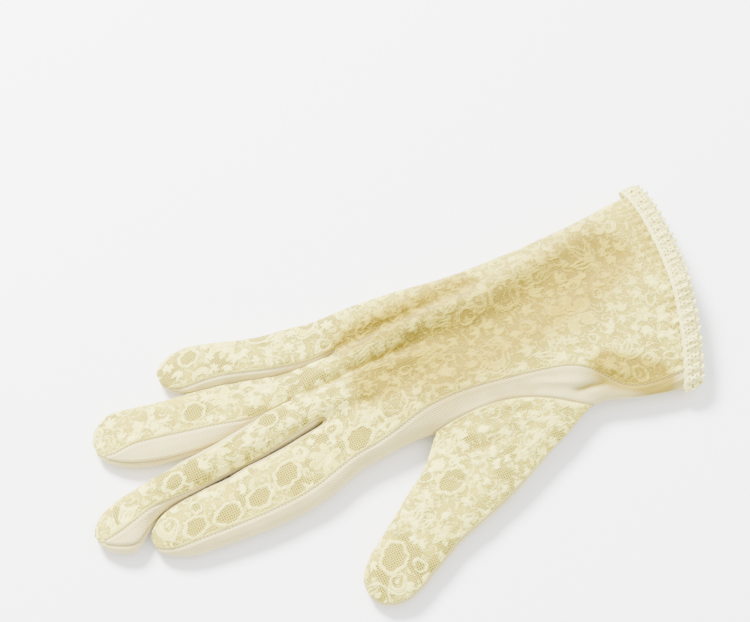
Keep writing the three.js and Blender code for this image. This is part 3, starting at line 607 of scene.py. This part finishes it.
def broad_valleys():
    """How deep each point lies in the back's broad valleys, from 0 to 1."""
    shares = np.linspace(0, 1, 40)
    middles, halves = zip(*((s[0].y, -s[1].y) for s in map(station, shares)))
    at = np.clip((V[:, 0] - knuckle_x) / HAND_LENGTH, 0, 1)
    half = np.interp(at, shares, halves)
    here = np.stack([HAND_LENGTH * at, np.interp(at, shares, middles) - V[:, 1]], axis=1)
    deep = np.zeros(len(V))
    for a0, c0, a1, c1, rise, wide in FOLDS:
        if rise > 0:
            continue
        start = np.stack([np.full(len(V), HAND_LENGTH * a0), half * c0], axis=1)
        run = np.stack([np.full(len(V), HAND_LENGTH * (a1 - a0)), half * (c1 - c0)], axis=1)
        t = np.clip(((here - start) * run).sum(axis=1) / (run**2).sum(axis=1), 0, 1)
        away = np.linalg.norm(here - start - run * t[:, None], axis=1)
        deep = np.maximum(deep, -rise / DEEP_FOLD * np.exp(-((away / (VALLEY_SPREAD * wide)) ** 2)))
    on_hand = np.clip((V[:, 0] - knuckle_x + 6) / 12, 0, 1)
    return np.clip(deep, 0, 1) * on_hand * (N[:, 2] > 0)


HOLLOW_DEPTH = 0.75
DEEP_FOLD = 0.24
VALLEY_SPREAD = 2.1
SMOOTHINGS = 160
# hollow sets where golden shade is painted into the cloth's colour, deepest in the fold valleys; it also
# makes the net denser there
hollow = np.clip(0.8 * hollows(SMOOTHINGS) + 1.6 * broad_valleys(), 0, 1)

# Each edge between two pieces is a seam, pulled in like a sewn groove with a low welt beside it
SEAM_REACH = 2.6
GROOVE_DEPTH = 0.42
GROOVE_WIDTH = 0.55
WELT_RISE = 0.16
WELT_OFFSET = 1.3
WELT_WIDTH = 0.6
edges = {}
for f, quad in enumerate(faces):
    for c in range(4):
        a, b = int(quad[c]), int(quad[(c + 1) % 4])
        key = (a, b) if a < b else (b, a)
        edges.setdefault(key, []).append(f)
seam_edges = [key for key, pair in edges.items() if len(pair) == 2 and owner[pair[0]] != owner[pair[1]]]
seam_points = np.array(sorted({p for key in seam_edges for p in key}))
near = np.full(len(V), 9.0)
neighbours = {}
for a, b in edges:
    neighbours.setdefault(a, []).append(b)
    neighbours.setdefault(b, []).append(a)
near[seam_points] = 0
frontier = [int(p) for p in seam_points]
while frontier:
    following = []
    for p in frontier:
        for q in neighbours[p]:
            distance = near[p] + float(np.linalg.norm(V[p] - V[q]))
            if distance < SEAM_REACH and distance < near[q] - 1e-6:
                near[q] = distance
                following.append(q)
    frontier = following
groove = -GROOVE_DEPTH * np.exp(-((near / GROOVE_WIDTH) ** 2))
groove += WELT_RISE * np.exp(-(((near - WELT_OFFSET) / WELT_WIDTH) ** 2))
V = V + N * groove[:, None]
V[:, 2] = np.maximum(V[:, 2], LOWEST)

# The lace's chart: signed distances in millimetres, above 0 inside the close cloth and its outlines.
# Columns: x, y, size, turn, kind. They are ordinary lace flowers, ovals, sprigs and scrolls.
MOTIFS = [
    (92, -4, 9.0, 0.3, "flower"), (104, -24, 6.0, 0.9, "sprig"), (108, 18, 6.5, 2.2, "sprig"),
    (76, -16, 7.0, 2.6, "sprig"), (74, 14, 7.0, 0.4, "oval"), (58, -8, 6.5, 1.2, "scroll"),
    (52, 20, 6.0, 2.8, "sprig"), (38, 4, 6.0, 0.5, "flower"), (34, -14, 6.5, 0.2, "oval"),
    (18, -8, 6.5, 0.9, "oval"), (20, 12, 5.5, 0.0, "scroll"), (2, -14, 6.5, 0.4, "oval"),
    (-12, -16, 5.5, 0.2, "flower"), (-26, -15, 6.0, 0.5, "oval"), (-38, -19, 5.5, 0.3, "oval"),
    (-50, -20, 5.5, 0.2, "oval"), (-62, -19, 5.0, 0.0, "oval"), (-71, -15, 4.0, 0.6, "scroll"),
    (-24, 6, 4.5, 0.1, "oval"), (-44, 4, 4.5, 0.3, "flower"), (-62, -1, 4.5, 0.2, "oval"),
    (-80, -5, 5.0, 0.4, "sprig"), (-34, 22, 5.0, 0.2, "flower"), (-46, 22, 5.0, 0.5, "oval"),
    (-58, 23, 5.0, 0.3, "sprig"), (-18, 20, 4.5, 1.0, "sprig"), (-12, 40, 5.0, 0.1, "oval"),
    (-26, 42, 5.0, 0.0, "flower"), (-39, 43, 4.5, 0.4, "oval"), (4, 36, 5.0, 0.8, "scroll"),
    (24, -42, 6.5, 0.2, "oval"), (8, -48, 6.0, 0.7, "sprig"), (-6, -58, 6.0, 0.9, "oval"),
    (-18, -68, 5.5, 0.5, "scroll"), (12, -58, 4.5, 0.4, "flower"),
]
LACE_SEED = 11
TRIES = 7000
CLOSENESS = 0.9  # the least distance between two motifs, as a share of their two sizes together
EDGING = 0.6  # the width of the plain edge along each seam
LACE_RISE = 0.13
CORD_RISE = 0.1


def scattered_motifs():
    """The placed motifs, and smaller ones between them until the lace is full."""
    random.seed(LACE_SEED)
    motifs = list(MOTIFS)
    for _ in range(TRIES):
        x, y = random.uniform(-102, 128), random.uniform(-84, 56)
        size, turn = random.uniform(1.7, 3.6), random.uniform(0, math.tau)
        kind = random.choice(("oval", "flower", "sprig", "scroll") if size > 2.4 else ("flower", "sprig"))
        placed = np.array([motif[:3] for motif in motifs])
        if np.all(np.hypot(placed[:, 0] - x, placed[:, 1] - y) > CLOSENESS * (placed[:, 2] + size)):
            motifs.append((x, y, size, turn, kind))
    return motifs


def oval(u, v, size):
    """A scalloped ring round open net."""
    r, turn = np.hypot(u, 1.3 * v), np.arctan2(v, u)
    rim = size * (0.86 + 0.13 * np.abs(np.sin(3.5 * turn)) ** 0.7)
    return 0.1 * size + 0.08 - np.abs(r - rim + 0.4)


def flower(u, v, size):
    """Six petals that don't quite meet, round a small centre."""
    r, turn = np.hypot(u, v), np.arctan2(v, u)
    wave = np.abs(np.cos(3 * turn))
    rim = size * (0.42 + 0.58 * wave**0.7)
    petals = np.minimum(np.minimum(rim - r, (wave - 0.36) * r * 0.45), r - 0.2 * size)
    return np.maximum(petals, 0.1 * size - r)


def sprig(u, v, size):
    """Three leaves drawn in outline, that spread from one stem."""
    best = np.full(len(u), -9.0)
    for lean in (-0.75, 0.0, 0.75):
        p = (u + 0.9 * size) * math.cos(lean) + v * math.sin(lean)
        q = v * math.cos(lean) - (u + 0.9 * size) * math.sin(lean)
        length = size * (1.75 if lean == 0 else 1.45)
        t = np.clip(p / length, 0, 1)
        leaf = 0.32 * size * np.sin(np.pi * t**0.8) - np.abs(q)
        drawn = np.maximum(0.3 - np.abs(leaf - 0.3), 0.2 - np.abs(q))
        outside = np.maximum(-p, p - length)
        best = np.maximum(best, np.where(outside > 0, -np.hypot(outside, q), drawn))
    return best


def scroll(u, v, size):
    """A crescent that curls round a dot, with a thread outside it."""
    r = np.hypot(u, v)
    crescent = np.minimum(0.74 * size - r, np.hypot(u - 0.3 * size, v) - 0.6 * size)
    dot = 0.15 * size - np.hypot(u - 0.32 * size, v)
    return np.maximum(np.maximum(crescent, dot), 0.2 - np.abs(r - 0.95 * size))


SHAPES = {"oval": oval, "flower": flower, "sprig": sprig, "scroll": scroll}


def fractal(x, y, seed):
    """Two sizes of smooth noise together, from -1 to 1."""
    return (value_noise(x, y, 0 * x, seed) + 0.5 * value_noise(2 * x, 2 * y, 0 * x, seed + 9)) / 1.5


cx, cy = flat_xy[:, 0], flat_xy[:, 1]
bend_x = cx + 1.1 * fractal(cx / 5, cy / 5, 11)
bend_y = cy + 1.1 * fractal(cx / 5 + 40, cy / 5, 12)
close = np.full(len(V), -1.0)
# openness: how open the net is, which sets how dark the painted shade in its holes is
openness = 0.45 + 1.3 * fractal(cx / 6, cy / 6, 31)
for x, y, size, turn, kind in scattered_motifs():
    reach = np.flatnonzero(np.hypot(bend_x - x, bend_y - y) < size + 2.5)
    if not len(reach):
        continue
    stretch = 1.25 if kind == "oval" else 1
    darker = 0.9 if kind == "oval" else 0.6
    lx, ly = bend_x[reach] - x, bend_y[reach] - y
    u = lx * math.cos(turn) + ly * math.sin(turn)
    v = ly * math.cos(turn) - lx * math.sin(turn)
    inside = SHAPES[kind](u, v, size)
    beyond = np.hypot(u, v * stretch) - size
    close[reach] = np.maximum(inside, np.minimum(close[reach], beyond))
    within = np.clip(1 - beyond / 0.8, 0, 1)
    openness[reach] = np.maximum(openness[reach], darker * within)
close = np.maximum(close, EDGING - near)
cord = 0.24 - np.abs(close - 0.12)
close = np.clip(close, -1, 1)
cord = np.clip(cord, -1, 1)
# Less painted shade shows in the holes towards the cuff and in the valleys, where the net is drawn denser
toward_cuff = np.clip((cx - 20) / 70, 0, 1)
openness = np.clip(openness * (1 - 0.45 * toward_cuff) * (1 - 0.7 * hollow), 0, 1)
on_lace = np.zeros(len(V), bool)
on_lace[faces[np.isin(owner, [n for n, name in enumerate(PIECES) if name.endswith("lace")])].ravel()] = True
relief = LACE_RISE * np.clip(close * 2 + 0.5, 0, 1) + CORD_RISE * np.clip(cord * 2 + 0.5, 0, 1)
V = V + N * (relief * on_lace)[:, None]

# Materials
SHADOW = (0.085, 0.062, 0.003)  # seen through the net where it is open
DENSE_NET_SHADE = (0.42, 0.35, 0.03)  # painted shade, lighter: the glove's inside seen through the net where it is dense
NET_THREAD = (0.60, 0.51, 0.065)
CLOSE_DARK = (0.57, 0.485, 0.05)
CLOSE_LIGHT = (0.78, 0.695, 0.12)
CORD = (0.88, 0.82, 0.21)
PAINTED_FOLD_GOLD = (0.5, 0.42, 0.1)  # painted shade: the darker golden tone that light takes on between two folds of the cloth, painted into the colour in the valleys


def new_material(name):
    material = bpy.data.materials.new(name)
    material.use_nodes = True
    tree = material.node_tree
    tree.nodes.clear()
    out = tree.nodes.new("ShaderNodeOutputMaterial")
    shader = tree.nodes.new("ShaderNodeBsdfPrincipled")
    tree.links.new(shader.outputs["BSDF"], out.inputs["Surface"])
    shader.inputs["Roughness"].default_value = 0.85
    shader.inputs["Specular IOR Level"].default_value = 0.2
    shader.inputs["Sheen Weight"].default_value = 0.25
    shader.inputs["Sheen Roughness"].default_value = 0.5
    return material, tree, shader


class Graph:
    """Short names for the nodes of one material."""

    def __init__(self, tree):
        self.tree = tree

    def put(self, socket, value):
        if hasattr(value, "links"):
            self.tree.links.new(value, socket)
        elif value is not None:
            socket.default_value = value

    def math(self, operation, a, b=None, c=None, limit=False):
        node = self.tree.nodes.new("ShaderNodeMath")
        node.operation = operation
        node.use_clamp = limit
        for socket, value in zip(node.inputs, (a, b, c)):
            self.put(socket, value)
        return node.outputs[0]

    def noise(self, vector, scale, detail=2.0, distortion=0.0):
        node = self.tree.nodes.new("ShaderNodeTexNoise")
        self.put(node.inputs["Vector"], vector)
        node.inputs["Scale"].default_value = scale
        node.inputs["Detail"].default_value = detail
        node.inputs["Distortion"].default_value = distortion
        return node

    def mix(self, share, a, b):
        node = self.tree.nodes.new("ShaderNodeMix")
        node.data_type = "RGBA"
        self.put(node.inputs[0], share)
        for socket, value in zip((node.inputs[6], node.inputs[7]), (a, b)):
            self.put(socket, (*value, 1) if isinstance(value, tuple) else value)
        return node.outputs[2]

    def tint(self, colour, tone):
        """A colour as light of another tone shows it."""
        node = self.tree.nodes.new("ShaderNodeMix")
        node.data_type = "RGBA"
        node.blend_type = "MULTIPLY"
        node.inputs[0].default_value = 1.0
        self.put(node.inputs[6], colour)
        self.put(node.inputs[7], (*tone, 1))
        return node.outputs[2]

    def number(self, name):
        """One of the numbers that the mesh keeps at each of its points."""
        node = self.tree.nodes.new("ShaderNodeAttribute")
        node.attribute_name = name
        return node.outputs["Fac"]

    def bump(self, height, distance, shader):
        node = self.tree.nodes.new("ShaderNodeBump")
        node.inputs["Strength"].default_value = 1.0
        node.inputs["Distance"].default_value = distance
        self.put(node.inputs["Height"], height)
        self.tree.links.new(node.outputs["Normal"], shader.inputs["Normal"])

    def split(self, vector):
        node = self.tree.nodes.new("ShaderNodeSeparateXYZ")
        self.put(node.inputs[0], vector)
        return node.outputs

    def flat(self):
        """The cloth's own flat coordinates in millimetres."""
        node = self.tree.nodes.new("ShaderNodeAttribute")
        node.attribute_name = "cloth"
        return node.outputs["Vector"]


def lace_material(name):
    material, tree, shader = new_material(name)
    g = Graph(tree)
    flat = g.flat()

    # Net ground
    net = tree.nodes.new("ShaderNodeTexVoronoi")
    net.feature = "DISTANCE_TO_EDGE"
    net.voronoi_dimensions = "2D"
    net.inputs["Randomness"].default_value = 0.35
    net.inputs["Scale"].default_value = 1.25
    g.put(net.inputs["Vector"], flat)
    thread = g.math("SUBTRACT", 1.0, g.math("DIVIDE", net.outputs["Distance"], 0.3, limit=True))
    rough_edge = g.noise(flat, 1.4, 1.0).outputs["Fac"]
    wobble = g.math("MULTIPLY_ADD", rough_edge, 0.5, -0.25)
    solid = g.math("MULTIPLY_ADD", g.math("ADD", g.number("close_cloth"), wobble), 2.2, 0.5, limit=True)
    cord = g.math("MULTIPLY_ADD", g.math("ADD", g.number("outline_cord"), wobble), 2.4, 0.5, limit=True)
    weave = g.noise(flat, 0.9, 3.0).outputs["Fac"]
    weave = g.math("MULTIPLY_ADD", weave, 2.4, -0.7, limit=True)
    # Fine twigs that wander over the net between the motifs
    wander = g.noise(flat, 0.3, 2.0, 0.8).outputs["Fac"]
    away = g.math("ABSOLUTE", g.math("SUBTRACT", wander, 0.5))
    twig = g.math("SUBTRACT", 1.0, g.math("DIVIDE", away, 0.05, limit=True))
    clear = g.math("MULTIPLY", g.math("SUBTRACT", 0.86, g.number("openness")), 6.0, limit=True)
    twig = g.math("MULTIPLY", g.math("POWER", twig, 0.6), clear)
    solid = g.math("MAXIMUM", solid, g.math("MULTIPLY", twig, 0.85))
    cord = g.math("MAXIMUM", cord, g.math("MULTIPLY", twig, 0.6))
    # The net's holes are painted shade: between the threads the colour runs from the lighter to the darker
    # painted shade as the net opens
    ground = g.mix(thread, g.mix(g.number("openness"), DENSE_NET_SHADE, SHADOW), NET_THREAD)
    close = g.mix(weave, CLOSE_DARK, CLOSE_LIGHT)
    colour = g.mix(solid, ground, close)
    colour = g.mix(cord, colour, CORD)
    # Painted shade: the valleys take the darker golden tone of light between two folds, painted into the
    # lace's colour
    colour = g.mix(g.number("hollow"), colour, g.tint(colour, PAINTED_FOLD_GOLD))
    tree.links.new(colour, shader.inputs["Base Color"])
    height = g.math("MULTIPLY_ADD", solid, 0.55, g.math("MULTIPLY", cord, 0.45))
    height = g.math("MULTIPLY_ADD", thread, 0.25, height)
    height = g.math("MULTIPLY_ADD", weave, 0.15, height)
    g.bump(height, 0.00022, shader)
    return material


def jersey_material(name):
    material, tree, shader = new_material(name)
    g = Graph(tree)
    flat = g.flat()
    x, y, _ = g.split(flat)
    ribs = g.math("SINE", g.math("MULTIPLY", y, 2 * math.pi / 0.7))
    loops = g.math("SINE", g.math("MULTIPLY", x, 2 * math.pi / 0.55))
    knit = g.math("MULTIPLY_ADD", loops, 0.35, ribs)
    cloud = g.noise(flat, 0.12, 2.0).outputs["Fac"]
    fuzz = g.noise(flat, 1.8, 3.0).outputs["Fac"]
    colour = g.mix(cloud, (0.60, 0.51, 0.19), (0.74, 0.65, 0.29))
    grain = g.math("MULTIPLY_ADD", knit, 0.045, g.math("MULTIPLY", fuzz, 0.3))
    colour = g.mix(g.math("ADD", grain, 0.0, limit=True), colour, (0.44, 0.33, 0.11))
    # Painted shade: the valleys take the darker golden tone of light between two folds, painted into the
    # jersey's colour
    colour = g.mix(g.number("hollow"), colour, g.tint(colour, PAINTED_FOLD_GOLD))
    tree.links.new(colour, shader.inputs["Base Color"])
    g.bump(g.math("ADD", g.math("MULTIPLY", knit, 0.5), fuzz), 0.00008, shader)
    return material


lace = lace_material("lace")
jersey = jersey_material("jersey")
seam_thread, tree, shader = new_material("seam thread")
g = Graph(tree)
twist = g.noise(g.flat(), 3.0, 2.0).outputs["Fac"]
tree.links.new(g.mix(twist, (0.36, 0.25, 0.06), (0.62, 0.49, 0.18)), shader.inputs["Base Color"])
g.bump(twist, 0.0001, shader)
trim_cloth, tree, shader = new_material("trim")
g = Graph(tree)
fibre = g.noise(g.flat(), 1.6, 3.0).outputs["Fac"]
rows = g.math("SINE", g.math("MULTIPLY", g.split(g.flat())[1], 2 * math.pi / 0.8))
tone = g.math("MULTIPLY_ADD", rows, 0.15, fibre, limit=True)
tree.links.new(g.mix(tone, (0.72, 0.62, 0.13), (0.98, 0.94, 0.40)), shader.inputs["Base Color"])
g.bump(g.math("ADD", fibre, g.math("MULTIPLY", rows, 0.4)), 0.00015, shader)


def place_in_row_frame(points_mm):
    return (np.asarray(points_mm, float) - np.array(ORIGIN)) * MM


def add_flat(mesh, flat):
    attribute = mesh.attributes.new("cloth", "FLOAT_VECTOR", "POINT")
    attribute.data.foreach_set("vector", np.asarray(flat, float).ravel())


WALL = 0.45  # the cloth's thickness in the visual model


def cloth_piece(name, piece, material):
    chosen = faces[owner == piece]
    used, inverse = np.unique(chosen.ravel(), return_inverse=True)
    local = inverse.reshape(-1, 4)
    obj = mesh_object(name, place_in_row_frame(V[used]), local.tolist(), [material])
    add_flat(obj.data, np.column_stack([flat_xy[used], np.zeros(len(used))]))
    # hollow: how deep each point lies in a fold, where the materials paint golden shade
    numbers = {"hollow": hollow}
    if material is lace:
        numbers.update(close_cloth=close, outline_cord=cord, openness=openness)
    for attribute, values in numbers.items():
        made = obj.data.attributes.new(attribute, "FLOAT", "POINT")
        made.data.foreach_set("value", values[used])
    inner = obj.modifiers.new("thickness", "SOLIDIFY")
    inner.thickness = WALL * MM
    inner.offset = -1
    inner.use_rim_only = True
    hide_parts(name)
    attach(obj, "root")
    return obj


for n, name in enumerate(PIECES):
    is_lace = name.endswith("lace")
    cloth_piece(name, n, lace if is_lace else jersey)


# Trim: a gathered strip of lace with holes, and picots along its free edge
def smooth_loop(corners, count_out):
    """A closed smooth curve through the hem's corners, at even steps."""
    pts = np.array([list(points[c]) for c in corners])
    dense = []
    n = len(pts)
    for i in range(n):
        p0, p1, p2, p3 = (pts[(i + k - 1) % n] for k in range(4))
        for t in np.linspace(0, 1, 8, endpoint=False):
            dense.append(0.5 * (2 * p1 + (p2 - p0) * t + (2 * p0 - 5 * p1 + 4 * p2 - p3) * t**2
                                + (3 * p1 - p0 - 3 * p2 + p3) * t**3))
    dense = np.array(dense)
    steps = np.linalg.norm(np.roll(dense, -1, 0) - dense, axis=1)
    at = np.concatenate([[0], np.cumsum(steps)])
    wanted = np.linspace(0, at[-1], count_out, endpoint=False)
    closed = np.vstack([dense, dense[:1]])
    return np.stack([np.interp(wanted, at, closed[:, k]) for k in range(3)], axis=1), at[-1]


AROUND = 640
ROWS = 22
RUFFLES = 52
FULLNESS = 1.5  # how much longer the strip is than the hem, for the cloth's own coordinates
loop, loop_length = smooth_loop(hand_rows[-1], AROUND)
tangent = np.roll(loop, -2, 0) - np.roll(loop, 2, 0)
outward = np.stack([np.zeros(AROUND), tangent[:, 2], -tangent[:, 1]], axis=1)
outward /= np.linalg.norm(outward, axis=1)[:, None]
random.seed(7)
jitter = np.array([random.uniform(-0.9, 0.9) for _ in range(RUFFLES)])
s = np.arange(AROUND) / AROUND
phase = 2 * np.pi * (s * RUFFLES + 0.25 * np.interp(s * RUFFLES, np.arange(RUFFLES), jitter))


def trim_strip(name, length, depth, shift, lead):
    """One tier of the trim, as a strip with holes, at a height above the hem's line."""
    verts, flat, kept = [], [], []
    picots = 2 * np.pi * s * RUFFLES * 2
    for row in range(ROWS + 1):
        t = row / ROWS
        scallop = 1.3 * t**3 * np.abs(np.cos(phase / 2 + lead)) ** 0.5
        scallop += 0.5 * t**6 * np.abs(np.sin(picots))
        small_wave = 0.35 * np.sin(2.3 * phase + 1.7 * lead + 2 * t)
        wave = depth * ease(t * 1.5) * (np.sin(phase + lead) + small_wave)
        row_points = loop.copy()
        row_points[:, 0] += -0.6 + length * t + scallop
        row_points += outward * (shift + wave)[:, None]
        row_points[:, 2] = np.maximum(row_points[:, 2], 0.03)
        verts.append(row_points)
        strip = s * loop_length * FULLNESS
        flat.append(np.stack([np.full(AROUND, length * t), strip, np.zeros(AROUND)], axis=1))
    for row in range(ROWS):
        t = (row + 0.5) / ROWS
        for n in range(AROUND):
            cell = (s[n] * RUFFLES * 2 + 0.5 * (int(t * 4) % 2)) % 1
            hole = abs(cell - 0.5) < 0.2 and 0.2 < (t * 4) % 1 < 0.68 and t > 0.22
            if hole:
                continue
            m = (n + 1) % AROUND
            here, beyond = row * AROUND, (row + 1) * AROUND
            kept.append((here + n, here + m, beyond + m, beyond + n))
    obj = mesh_object(name, place_in_row_frame(np.vstack(verts)), kept, [trim_cloth])
    add_flat(obj.data, np.vstack(flat))
    thick = obj.modifiers.new("thickness", "SOLIDIFY")
    thick.thickness = 0.35 * MM
    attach(obj, "root")
    return obj


lower_tier = trim_strip("cuff_trim", TRIM_WIDTH - 0.6, 0.7, np.full(AROUND, -0.2), 0.0)
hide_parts("cuff_trim")
trim_strip("trim_upper_tier", TRIM_WIDTH - 2.6, 0.6, np.full(AROUND, 0.75), 1.9)


# Stitches: short stitches of thread along each seam
def seam_chains():
    """The seams as polylines, each between two given pieces."""
    by_pair = {}
    for key in seam_edges:
        pair = tuple(sorted(int(owner[f]) for f in edges[key]))
        by_pair.setdefault(pair, []).append(key)
    chains = []
    for pair_edges in by_pair.values():
        linked = {}
        for a, b in pair_edges:
            linked.setdefault(a, []).append(b)
            linked.setdefault(b, []).append(a)
        unused = {tuple(sorted(e)) for e in pair_edges}
        ends = sorted(p for p, q in linked.items() if len(q) == 1) or [min(linked)]
        for start in ends:
            chain = [start]
            while True:
                step = next((q for q in linked[chain[-1]] if tuple(sorted((chain[-1], q))) in unused), None)
                if step is None:
                    break
                unused.discard(tuple(sorted((chain[-1], step))))
                chain.append(step)
            if len(chain) > 4:
                chains.append(chain)
    return chains


def tube(verts, quads, flats, a, b, normal, radius, side=5):
    """Adds one stitch from a to b, with thin ends."""
    axis = b - a
    axis /= max(np.linalg.norm(axis), 1e-9)
    u = normal - axis * (normal @ axis)
    u /= max(np.linalg.norm(u), 1e-9)
    w = np.cross(axis, u)
    base = len(verts)
    for p, scale in ((a, 0.35), (a * 0.75 + b * 0.25, 1.0), (a * 0.25 + b * 0.75, 1.0), (b, 0.35)):
        for k in range(side):
            angle = 2 * math.pi * k / side
            verts.append(p + (u * math.cos(angle) + w * math.sin(angle)) * radius * scale)
            flats.append(p)
    for ring in range(3):
        for k in range(side):
            m = (k + 1) % side
            quads.append((base + ring * side + k, base + ring * side + m,
                          base + (ring + 1) * side + m, base + (ring + 1) * side + k))
    quads.append(tuple(base + k for k in reversed(range(side))))
    quads.append(tuple(base + 3 * side + k for k in range(side)))


stitch_verts, stitch_quads, stitch_flats = [], [], []
STITCH = 1.3
STITCH_RADIUS = 0.14
STITCH_RISE = 0.16
STITCH_ENDS = (0.12, 0.82)  # where a stitch starts and ends, as shares of its step
for chain in seam_chains():
    path = V[chain]
    normal = N[chain]
    at = np.concatenate([[0], np.cumsum(np.linalg.norm(np.diff(path, axis=0), axis=1))])
    pieces_along = int(at[-1] / STITCH)
    for n in range(pieces_along):
        ends = []
        for share in STITCH_ENDS:
            d = (n + share) * STITCH
            p = np.array([np.interp(d, at, path[:, k]) for k in range(3)])
            m = np.array([np.interp(d, at, normal[:, k]) for k in range(3)])
            ends.append((p + m * STITCH_RISE, m))
        tube(stitch_verts, stitch_quads, stitch_flats, ends[0][0], ends[1][0], ends[0][1], STITCH_RADIUS)
stitches = mesh_object("seam_stitches", place_in_row_frame(stitch_verts), stitch_quads, [seam_thread])
add_flat(stitches.data, stitch_flats)
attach(stitches, "root")

# Floor, light and camera
PICTURE_WIDTH = 750
PICTURE_HEIGHT = 622
LENS = 80
SENSOR = 36
PIXEL_F = PICTURE_WIDTH * LENS / SENSOR
DISTANCE = 0.620
ELEVATION = math.radians(60)
FLOOR_HALF = 1.6
view = math.radians(26)
right = Vector((math.cos(view), -math.sin(view), 0))
ahead = Vector((math.sin(view), math.cos(view), 0))


def on_floor(across, away, height=0.0):
    """A point placed as the camera sees the floor: to the right of the picture's middle, and away."""
    p = AIM + right * across + ahead * away
    return Vector((p.x, p.y, height))


# The point (25, 0) of the tables' frame is at (400, 395) in the picture
du = (400 - PICTURE_WIDTH / 2) / PIXEL_F
dv = -(395 - PICTURE_HEIGHT / 2) / PIXEL_F
forward = ahead * math.cos(ELEVATION) + Vector((0, 0, -math.sin(ELEVATION)))
upward = ahead * math.sin(ELEVATION) + Vector((0, 0, math.cos(ELEVATION)))
ray = forward + right * du + upward * dv
travel = DISTANCE * math.sin(ELEVATION) / -ray.z
anchor = Vector(((25.0 - ORIGIN[0]) * MM, -ORIGIN[1] * MM, 0.0))
eye = anchor - ray * travel
AIM = eye + forward * DISTANCE

camera_data = bpy.data.cameras.new("camera")
camera_data.lens = LENS
camera_data.sensor_width = SENSOR
camera_data.clip_start = 0.01
camera = bpy.data.objects.new("camera", camera_data)
bpy.context.scene.collection.objects.link(camera)
camera.location = eye
camera.rotation_euler = forward.to_track_quat("-Z", "Y").to_euler()
bpy.context.scene.camera = camera

floor_material = bpy.data.materials.new("floor")
floor_material.use_nodes = True
floor_shader = floor_material.node_tree.nodes["Principled BSDF"]
floor_shader.inputs["Base Color"].default_value = (0.965, 0.965, 0.98, 1)
floor_shader.inputs["Roughness"].default_value = 0.7
floor_corners = [(FLOOR_HALF * x, FLOOR_HALF * y, 0) for x, y in ((-1, -1), (1, -1), (1, 1), (-1, 1))]
floor = mesh_object("floor", floor_corners, [(0, 1, 2, 3)], [floor_material], smooth=False)


def area_light(name, location, target, size_m, energy, colour):
    data = bpy.data.lights.new(name, "AREA")
    data.shape = "DISK"
    data.size = size_m
    data.energy = energy
    data.color = colour
    light = bpy.data.objects.new(name, data)
    bpy.context.scene.collection.objects.link(light)
    light.location = location
    light.rotation_euler = (Vector(target) - Vector(location)).to_track_quat("-Z", "Y").to_euler()


area_light("key", on_floor(-0.55, 0.75, 1.0), AIM, 0.5, 110, (1.0, 0.985, 0.96))
area_light("fill", on_floor(0.6, -0.3, 1.1), AIM, 1.2, 10, (0.97, 0.98, 1.0))
world = bpy.data.worlds.new("studio")
world.use_nodes = True
world.node_tree.nodes["Background"].inputs["Color"].default_value = (0.95, 0.97, 1.0, 1)
world.node_tree.nodes["Background"].inputs["Strength"].default_value = 2.2
bpy.context.scene.world = world
